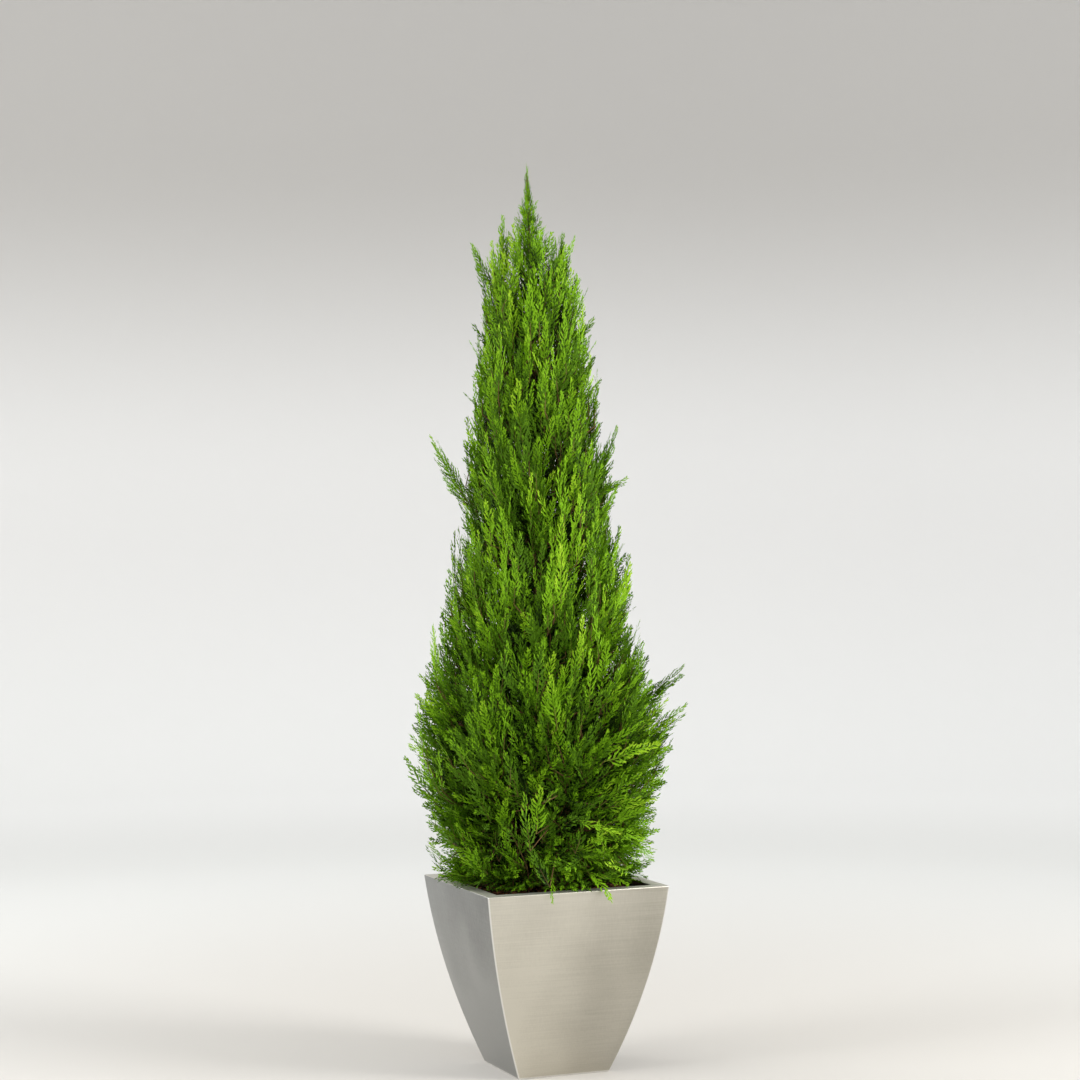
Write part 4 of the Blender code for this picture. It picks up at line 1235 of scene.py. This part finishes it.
SOIL_LEVEL = POT_HEIGHT - SOIL_BELOW_RIM
SOIL_STEPS = 90
LUMPS = ((60.0, 0.0, 0.0022), (190.0, 3.0, 0.0012))  # how many to a metre, where in the noise, height
CHIPS = 1500
CHIP_LENGTH = (0.006, 0.020)
CHIP_WIDTH = (0.25, 0.6)  # as shares of the length
CHIP_THICKNESS = (0.0008, 0.0022)
CHIP_COLOURS = (srgb(62, 38, 26), srgb(96, 58, 38), srgb(134, 86, 56))
CHIP_OUTLINE = ((-1.0, -0.5), (-0.3, -1.0), (0.8, -0.7), (1.0, 0.4), (0.2, 1.0), (-0.9, 0.6))
CHIP_SHAKE = (0.8, 1.15)
CHIP_BEND = 0.12
CHIP_TILT = (0.30, 0.22)
CHIPS_FROM_WALL = 0.012
CHIPS_FROM_TRUNK = 0.004
CHIPS_ABOVE_SOIL = 0.0025
FULL_TURN = 6.3


def soil_height(x, y):
    """The soil's level, from the wall up to the mound, with lumps."""
    out = max(abs(x), abs(y))
    edge = pot_half(SOIL_LEVEL)
    share = min(1.0, max(0.0, (edge - out) / (edge - MOUND_HALF)))
    level = SOIL_LEVEL + (SOIL_BELOW_RIM - MOUND_BELOW_RIM) * share
    for size, place, height in LUMPS:
        level += height * noise.noise(Vector((size * x, size * y, place)))
    return level


def make_soil(material):
    half = pot_half(SOIL_LEVEL) - SHEET - 2.0 * GAP
    places = np.linspace(-half, half, SOIL_STEPS)
    points = [(x, y, soil_height(x, y)) for y in places for x in places]
    return add_mesh("soil_bed", points, ring_faces(SOIL_STEPS, SOIL_STEPS, closed=False), material)


def chip_points(rng, x, y):
    """A thin bent slab of irregular outline at a place on the soil: its upper points, then its lower."""
    long = rng.uniform(*CHIP_LENGTH) / 2.0
    wide = long * rng.uniform(*CHIP_WIDTH)
    thick = rng.uniform(*CHIP_THICKNESS)
    place = Vector((x, y, soil_height(x, y) + CHIPS_ABOVE_SOIL))
    turn = Matrix.Rotation(rng.uniform(0.0, FULL_TURN), 3, "Z")
    for tilt, axis in zip(CHIP_TILT, "XY"):
        turn = turn @ Matrix.Rotation(rng.gauss(0.0, tilt), 3, axis)
    points = []
    for level in (0.5, -0.5):
        for across, along in CHIP_OUTLINE:
            bend = CHIP_BEND * long * (1.0 - across * across)
            shake = rng.uniform(*CHIP_SHAKE)
            local = Vector((across * long * shake, along * wide * shake, level * thick + bend))
            points.append(tuple(place + turn @ local))
    return points


def chip_faces():
    sides = len(CHIP_OUTLINE)
    faces = [(0, at, at + 1) for at in range(1, sides - 1)]
    faces += [(sides, sides + at + 1, sides + at) for at in range(1, sides - 1)]
    for at in range(sides):
        after = (at + 1) % sides
        faces += [(at, sides + at, sides + after), (at, sides + after, after)]
    return faces


def make_chips(materials):
    """Bark chips strewn over the soil."""
    rng = random.Random(FRONDS_SEED + 1)
    half = pot_half(SOIL_LEVEL) - CHIPS_FROM_WALL
    piles = [Joined() for _ in materials]
    for _ in range(CHIPS):
        x, y = rng.uniform(-half, half), rng.uniform(-half, half)
        if math.hypot(x, y) >= FLARE_RADIUS + CHIPS_FROM_TRUNK:
            points = chip_points(rng, x, y)
            rng.choice(piles).add(points, chip_faces())
    return [pile.make(f"mulch_{at}", material)
            for at, (pile, material) in enumerate(zip(piles, materials), 1)]


# ---- planter

CORNER_STEPS = 6
RIM_EDGE = 0.0009  # rounding of the rim's inner edge
RIM_EDGE_STEPS = 3
FOLD_STEPS = 5
FOLD = 0.55 * FOLD_RADIUS  # rounding of the rim's outer edge and of the foot's
WALL_STATIONS, INSIDE_STATIONS = 44, 6
INSIDE_CORNER, LIP_CORNER = 0.002, 0.001
INSIDE_SHEET = 1.2 * SHEET
BELOW_SOIL = 0.012  # how far the inside of the wall goes on below the soil
UNDERSIDE = 0.6  # share of the foot that is flat
SHARP = math.radians(40.0)


def square_loop(half, height, radius):
    """A square loop with rounded corners, the same number of points whatever its size."""
    points = []
    for corner in range(4):
        first = corner * math.pi / 2.0
        centre = Matrix.Rotation(first, 3, "Z") @ Vector((half - radius, half - radius, height))
        for step in range(CORNER_STEPS + 1):
            points.append(tuple(centre + radial(first + math.pi / 2.0 * step / CORNER_STEPS) * radius))
    return points


def quarter(radius, steps):
    """Sideways and upward distances from the corner of an edge to points on its rounding."""
    turns = [math.pi / 2.0 * step / steps for step in range(steps + 1)]
    return [(radius * (1.0 - math.cos(turn)), radius * (1.0 - math.sin(turn))) for turn in turns]


def planter_profile():
    """(half width, height, corner radius) from inside the wall, round the rim and down to the foot."""
    lip = POT_TOP / 2.0 - RIM_WIDTH
    under = POT_HEIGHT - SHEET
    inside = np.linspace(SOIL_LEVEL - BELOW_SOIL, under, INSIDE_STATIONS)
    profile = [(pot_half(height) - INSIDE_SHEET, height, INSIDE_CORNER) for height in inside]
    profile.append((lip + SHEET, under, INSIDE_CORNER))
    profile.append((lip + SHEET, POT_HEIGHT - RIM_LIP, INSIDE_CORNER))
    profile.append((lip, POT_HEIGHT - RIM_LIP, LIP_CORNER))
    for out, down in quarter(RIM_EDGE, RIM_EDGE_STEPS):
        profile.append((lip + out, POT_HEIGHT - down, LIP_CORNER))
    for down, back in quarter(FOLD, FOLD_STEPS):
        profile.append((POT_TOP / 2.0 - back, POT_HEIGHT - down, FOLD_RADIUS))
    for height in np.linspace(POT_HEIGHT - 2.0 * FOLD, 2.0 * FOLD, WALL_STATIONS):
        profile.append((pot_half(height), height, FOLD_RADIUS))
    for back, up in quarter(FOLD, FOLD_STEPS):
        profile.append((pot_half(0.0) - back, up, FOLD_RADIUS))
    profile.append((UNDERSIDE * pot_half(0.0), 0.0, FOLD_RADIUS))
    return profile


def make_planter(material):
    loops = [square_loop(*station) for station in planter_profile()]
    count = len(loops[0])
    points = [point for loop in loops for point in loop]
    faces = [(a, d, c, b) for a, b, c, d in ring_faces(len(loops), count)]
    underside = tuple(range(len(points) - count, len(points)))[::-1]
    planter = add_mesh("planter_steel", points, [*faces, underside], material)
    planter.data.set_sharp_from_angle(angle=SHARP)
    return planter


# ---- materials

TWIG_BROWN = srgb(104, 78, 44)
BARK_PLAIN, BARK_FURROW, BARK_RIDGE = srgb(92, 68, 50), srgb(58, 36, 24), srgb(136, 108, 84)
BARK_PATCH = srgb(104, 92, 76)
SOIL_PLAIN, SOIL_DARK, SOIL_LIGHT = srgb(44, 30, 22), srgb(22, 14, 10), srgb(78, 54, 38)
STEEL_PLAIN = srgb(176, 170, 157)
BROAD_STEEL = srgb(170, 166, 155), srgb(211, 207, 195)  # on the sides with mostly level scratches
NARROW_STEEL = srgb(106, 107, 105), srgb(168, 169, 167)  # on the other two sides, darker: painted shade
# a lighter steel on the rim's top: painted light
RIM_STEEL = srgb(204, 201, 192)
# painted highlight along the corner folds and the foot, and how strong it is
HIGHLIGHT_STEEL, HIGHLIGHT_SHARE = srgb(236, 235, 232), 0.8
SEAM_STEEL = srgb(84, 82, 78)
BRUSH_LEVEL, BRUSH_UPRIGHT = (9.0, 9.0, 520.0), (460.0, 460.0, 5.0)  # scratches to a metre on each axis
CLOUDS = (-6.5, 6.5, 4.5)
BRUSH_BROAD, BRUSH_NARROW = (0.6, 0.4), (0.25, 0.75)  # weights of level and upright scratches
TONE_WEIGHTS = (0.34, 0.46, 0.31)  # of scratches, clouds and the painted fall of light across
TONE_RANGE = (-0.88, 1.72)
# painted fall of light across: lighter towards -X, darker towards +X
ACROSS = (0.16, -0.16)
NARROW_FALL = 0.45  # painted shade on the narrow sides: lighter at the foot, darker at the rim
HIGHLIGHT_FOLD, HIGHLIGHT_FOOT = (0.0035, 0.0015), (0.0045, 0.0025)  # distances where the painted highlight begins and is full
SEAM = (0.0012, 0.0004)  # from the mitre of the rim's corners
FACING, UPWARD = 0.5, 0.7  # parts of the normal along an axis
STEEL_ROUGH, RIM_ROUGHER = (0.30, 0.44), 0.22


class Nodes:
    """A Principled material with short calls for the nodes that feed it."""

    def __init__(self, name, colour, roughness, metallic=0.0, specular=0.5):
        self.material = bpy.data.materials.new(name)
        self.material.use_nodes = True
        self.tree = self.material.node_tree
        self.shader = self.tree.nodes["Principled BSDF"]
        self.shader.inputs["Base Color"].default_value = (*colour, 1.0)
        self.shader.inputs["Roughness"].default_value = roughness
        self.shader.inputs["Metallic"].default_value = metallic
        self.shader.inputs["Specular IOR Level"].default_value = specular
        self.place = self.node("TexCoord").outputs["Object"]

    def set(self, socket, value):
        """Feeds a socket from another one, or gives it a number or a colour."""
        if isinstance(value, bpy.types.NodeSocket):
            self.tree.links.new(value, socket)
        else:
            socket.default_value = value

    def node(self, kind, **inputs):
        made = self.tree.nodes.new("ShaderNode" + kind)
        for name, value in inputs.items():
            self.set(made.inputs[name.replace("_", " ")], value)
        return made

    def noise(self, scales, detail=2.0, size=1.0):
        mapping = self.node("Mapping", Vector=self.place, Scale=scales)
        made = self.node("TexNoise", Vector=mapping.outputs[0], Scale=size, Detail=detail)
        return made.outputs["Fac"]

    def axes(self, value):
        return self.node("SeparateXYZ", Vector=value).outputs

    def math(self, operation, first, second=0.0):
        made = self.node("Math")
        made.operation = operation
        self.set(made.inputs[0], first)
        self.set(made.inputs[1], second)
        return made.outputs[0]

    def weighted(self, *terms):
        """The sum of values, each given with its weight."""
        parts = [self.math("MULTIPLY", value, weight) for value, weight in terms]
        total = parts[0]
        for part in parts[1:]:
            total = self.math("ADD", total, part)
        return total

    def spread(self, value, low, high):
        made = self.node("MapRange", Value=value, To_Min=low, To_Max=high)
        return made.outputs["Result"]

    def ramp(self, value, start, stop, smooth=False):
        """0 up to start and 1 from stop on; start may be the greater one."""
        made = self.node("MapRange", Value=value, From_Min=start, From_Max=stop)
        if smooth:
            made.interpolation_type = "SMOOTHSTEP"
        return made.outputs["Result"]

    def blend(self, share, first, second):
        made = self.node("Mix")
        made.data_type = "RGBA"
        for name, value in (("Factor", share), ("A", first), ("B", second)):
            if isinstance(value, tuple):
                value = (*value, 1.0)
            self.set(next(s for s in made.inputs if s.name == name and s.enabled), value)
        return next(s for s in made.outputs if s.enabled)

    def feed(self, name, value):
        self.tree.links.new(value, self.shader.inputs[name])

    def finish(self, grain, rough, strength, distance):
        """Lets a grain vary the roughness and stand out as relief, and gives the material."""
        if rough:
            self.feed("Roughness", self.spread(grain, *rough))
        made = self.node("Bump", Height=grain, Strength=strength, Distance=distance)
        self.feed("Normal", made.outputs[0])
        return self.material


def leaf_material(name, colour):
    """Waxy scale leaves: the colour is plain, the gloss and the fine scales vary."""
    nodes = Nodes(name, colour, roughness=0.6, specular=0.12)
    scales = nodes.noise((1.0, 1.0, 1.0), detail=1.0, size=700.0)
    return nodes.finish(scales, rough=(0.48, 0.78), strength=0.25, distance=0.0006)


def twig_material():
    nodes = Nodes("twig", TWIG_BROWN, roughness=0.8, specular=0.3)
    grain = nodes.noise((1.0, 1.0, 0.3), detail=2.0, size=500.0)
    return nodes.finish(grain, rough=(0.65, 0.95), strength=0.4, distance=0.0005)


def bark_material():
    """Thin stringy bark: long fibres, grey on the ridges and red-brown between them."""
    nodes = Nodes("bark", BARK_PLAIN, roughness=0.9, specular=0.25)
    fibres = nodes.noise((1.0, 1.0, 0.10), detail=4.0, size=260.0)
    patches = nodes.noise((1.0, 1.0, 0.5), detail=2.0, size=26.0)
    ridges = nodes.blend(nodes.spread(fibres, low=-0.6, high=1.5), BARK_FURROW, BARK_RIDGE)
    patchy = nodes.spread(patches, low=-0.4, high=1.1)
    nodes.feed("Base Color", nodes.blend(patchy, ridges, BARK_PATCH))
    return nodes.finish(fibres, rough=(0.75, 1.0), strength=0.8, distance=0.0015)


def soil_material():
    nodes = Nodes("soil", SOIL_PLAIN, roughness=1.0, specular=0.2)
    crumbs = nodes.noise((1.0, 1.0, 1.0), detail=4.0, size=240.0)
    nodes.feed("Base Color", nodes.blend(nodes.spread(crumbs, low=-0.5, high=1.5), SOIL_DARK, SOIL_LIGHT))
    return nodes.finish(crumbs, rough=None, strength=0.9, distance=0.002)


def chip_material(name, colour):
    nodes = Nodes(name, colour, roughness=0.85, specular=0.3)
    grain = nodes.noise((1.0, 0.25, 1.0), detail=3.0, size=600.0)
    return nodes.finish(grain, rough=(0.7, 0.95), strength=0.6, distance=0.0008)


def steel_material():
    """Brushed steel: long fine scratches, mostly level on two sides and mostly upright on the others."""
    nodes = Nodes("brushed steel", STEEL_PLAIN, roughness=0.34, metallic=1.0)
    x, y, z = nodes.axes(nodes.place)
    normal = nodes.axes(nodes.node("NewGeometry").outputs["Normal"])
    is_broad = nodes.math("GREATER_THAN", nodes.math("ABSOLUTE", normal[1]), FACING)
    is_narrow = nodes.math("SUBTRACT", 1.0, is_broad)
    is_upward = nodes.math("GREATER_THAN", normal[2], UPWARD)
    brushed = nodes.noise(BRUSH_LEVEL, detail=3.0), nodes.noise(BRUSH_UPRIGHT, detail=3.0)
    broad, narrow = (nodes.weighted(*zip(brushed, weights)) for weights in (BRUSH_BROAD, BRUSH_NARROW))
    scratches = nodes.weighted((is_broad, broad), (is_narrow, narrow))
    clouds = nodes.noise(CLOUDS, detail=1.5)
    # painted fall of light across, with the scratches and clouds
    tone = nodes.weighted(*zip((scratches, clouds, nodes.ramp(x, *ACROSS)), TONE_WEIGHTS))
    share = nodes.spread(tone, *TONE_RANGE)
    # painted shade: the narrow sides darker than the broad ones, and darker towards the rim
    falling = nodes.node("MapRange", Value=z, From_Max=POT_HEIGHT,
                         To_Min=NARROW_FALL, To_Max=-NARROW_FALL).outputs["Result"]
    narrow_share = nodes.math("ADD", share, falling)
    sides = nodes.blend(narrow_share, *NARROW_STEEL), nodes.blend(share, *BROAD_STEEL)
    colour = nodes.blend(is_broad, *sides)
    # painted light: a lighter steel on the rim's top
    colour = nodes.blend(is_upward, colour, RIM_STEEL)
    # painted highlight along the corner folds and the foot
    from_fold = nodes.math("SUBTRACT", nodes.math("ABSOLUTE", x), nodes.math("ABSOLUTE", y))
    from_fold = nodes.math("ABSOLUTE", from_fold)
    painted_highlight = nodes.math("MAXIMUM", nodes.ramp(from_fold, *HIGHLIGHT_FOLD), nodes.ramp(z, *HIGHLIGHT_FOOT))
    colour = nodes.blend(nodes.math("MULTIPLY", painted_highlight, HIGHLIGHT_SHARE), colour, HIGHLIGHT_STEEL)
    seam = nodes.math("MULTIPLY", nodes.ramp(from_fold, *SEAM), is_upward)
    nodes.feed("Base Color", nodes.blend(seam, colour, SEAM_STEEL))
    rough = nodes.spread(scratches, *STEEL_ROUGH)
    nodes.feed("Roughness", nodes.math("ADD", rough, nodes.math("MULTIPLY", is_upward, RIM_ROUGHER)))
    return nodes.finish(scratches, rough=None, strength=0.06, distance=0.0003)


# ---- stage, camera and light

STAGE_RADIUS = 9.0
STAGE_CURVE = 3.0  # radius of the sweep between floor and wall
STAGE_CURVE_STEPS = 16
STAGE_TOP = 7.0
STAGE_SIDES = 96
PAPER = srgb(240, 240, 237)
# painted shade: the floor darker round the plant, lightest far out
FLOOR_TONES = srgb(203, 200, 195), srgb(225, 226, 224), srgb(246, 247, 246)  # from the plant outwards
FLOOR_FADES = (0.5, 3.5), (3.5, 6.0)  # distances from the plant
# painted shade: the wall darker towards its top
WALL_TONES, WALL_FADE = (srgb(241, 241, 240), srgb(201, 199, 196)), (1.4, 3.3)  # heights
FLOOR_TO_WALL = (0.0, 1.2)
LENS, SENSOR = 86.7, 36.0
CAMERA_TURN, CAMERA_DISTANCE, CAMERA_HEIGHT = math.radians(21.38), 5.488, 1.122
CAMERA_DOWN, CAMERA_ROLL = math.radians(0.11), math.radians(-0.71)
LIGHTS_AIM = 1.05  # height
LIGHT_SPREAD = math.radians(100.0)
Light = namedtuple("Light", "name azimuth distance height width tall energy colour")
LIGHTS = (
    Light("key", -45.0, 5.2, 2.4, 2.2, 2.4, 91.0, (1.0, 0.99, 0.97)),
    Light("fill", -176.0, 5.2, 2.4, 2.0, 2.4, 51.0, (0.98, 0.99, 1.0)),
    Light("back", 126.0, 5.6, 2.6, 2.2, 2.2, 22.0, (1.0, 1.0, 1.0)),
)
WORLD_LIGHT = 1.12


def paper_material():
    """Pale studio paper with painted shade round the plant and towards the top of the wall."""
    nodes = Nodes("studio paper", PAPER, roughness=0.95, specular=0.1)
    height = nodes.axes(nodes.place)[2]
    length = nodes.node("VectorMath", Vector=nodes.place)
    length.operation = "LENGTH"
    floor = FLOOR_TONES[0]
    for fade, tone in zip(FLOOR_FADES, FLOOR_TONES[1:]):
        floor = nodes.blend(nodes.ramp(length.outputs["Value"], *fade, smooth=True), floor, tone)
    wall = nodes.blend(nodes.ramp(height, *WALL_FADE, smooth=True), *WALL_TONES)
    nodes.feed("Base Color", nodes.blend(nodes.ramp(height, *FLOOR_TO_WALL, smooth=True), floor, wall))
    return nodes.material


def make_stage():
    """A pale floor that sweeps up all round into a wall."""
    flat = STAGE_RADIUS - STAGE_CURVE
    profile = [(0.0, 0.0)]
    for step in range(STAGE_CURVE_STEPS + 1):
        turn = math.pi / 2.0 * step / STAGE_CURVE_STEPS
        profile.append((flat + STAGE_CURVE * math.sin(turn), STAGE_CURVE * (1.0 - math.cos(turn))))
    profile.append((STAGE_RADIUS, STAGE_TOP))
    turns = [2.0 * math.pi * side / STAGE_SIDES for side in range(STAGE_SIDES)]
    points = [radial(turn) * out + UP * height for out, height in profile for turn in turns]
    floor = add_mesh("studio_floor", points, ring_faces(len(profile), STAGE_SIDES), paper_material())


def make_camera():
    """A long lens, a little above the plant's middle, turned to the right."""
    data = bpy.data.cameras.new("camera")
    data.lens = LENS
    data.sensor_width = SENSOR
    camera = add_object("camera", data)
    camera.location = radial(-math.pi / 2.0 - CAMERA_TURN) * CAMERA_DISTANCE + UP * CAMERA_HEIGHT
    heading = Matrix.Rotation(-CAMERA_TURN, 4, "Z")
    pitch = Matrix.Rotation(math.pi / 2.0 - CAMERA_DOWN, 4, "X")
    roll = Matrix.Rotation(CAMERA_ROLL, 4, "Z")
    camera.rotation_euler = (heading @ pitch @ roll).to_euler()
    bpy.context.scene.camera = camera


def add_light(light):
    """A soft box that looks at the middle of the plant and isn't seen itself."""
    data = bpy.data.lights.new(light.name, "AREA")
    data.shape = "RECTANGLE"
    data.size = light.width
    data.size_y = light.tall
    data.energy = light.energy
    data.color = light.colour
    data.spread = LIGHT_SPREAD
    lamp = add_object(light.name, data)
    lamp.location = radial(math.radians(light.azimuth)) * light.distance + UP * light.height
    way = UP * LIGHTS_AIM - lamp.location
    lamp.rotation_euler = way.to_track_quat("-Z", "Y").to_euler()
    lamp.visible_camera = False


def light_studio():
    world = bpy.data.worlds.new("studio")
    world.use_nodes = True
    background = world.node_tree.nodes["Background"]
    background.inputs["Color"].default_value = (1.0, 1.0, 1.0, 1.0)
    background.inputs["Strength"].default_value = WORLD_LIGHT
    bpy.context.scene.world = world
    for light in LIGHTS:
        add_light(light)
    bpy.context.scene.view_settings.view_transform = "Standard"


# ---- the whole scene

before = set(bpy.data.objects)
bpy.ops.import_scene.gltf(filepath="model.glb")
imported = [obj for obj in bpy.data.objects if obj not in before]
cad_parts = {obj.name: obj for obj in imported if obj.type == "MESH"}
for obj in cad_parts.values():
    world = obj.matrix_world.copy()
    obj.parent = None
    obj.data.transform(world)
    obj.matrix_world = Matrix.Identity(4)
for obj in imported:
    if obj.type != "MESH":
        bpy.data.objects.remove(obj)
cad_box = [list(corner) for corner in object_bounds()]

limbs = grow()
foliage = Foliage(cad_box)
twigs = Joined()
for limb in limbs:
    dress_stem(foliage, twigs, limb)
    for spray in limb.sprays:
        dress_spray(foliage, twigs, spray)
dress_outside(foliage, twigs, limbs)
dress_foot(foliage, twigs, limbs)
dress_leader(foliage)
dress_rim(foliage, twigs)
foliage.make_pieces([leaf_material("leaf " + name, colour) for name, colour in SHADES],
                    [limb.mass_name for limb in limbs])

bark = bark_material()
twig_piece = twigs.make("twigs", twig_material(), smooth=True)
trunk = make_trunk(bark)
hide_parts("trunk")
boughs = make_boughs(limbs, bark)
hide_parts(*[limb.bough_name for limb in limbs if limb.bough_name])
soil = make_soil(soil_material())
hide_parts("soil")
chips = make_chips([chip_material(f"mulch {at}", colour) for at, colour in enumerate(CHIP_COLOURS, 1)])
planter = make_planter(steel_material())
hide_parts("planter")
for piece, slot in ((twig_piece, "bark"), (trunk, "bark"), (boughs, "bark"), (soil, "potting_soil"),
                    *((chip, "potting_soil") for chip in chips), (planter, "planter_steel")):
    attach(piece, BODY)

make_stage()
make_camera()
light_studio()
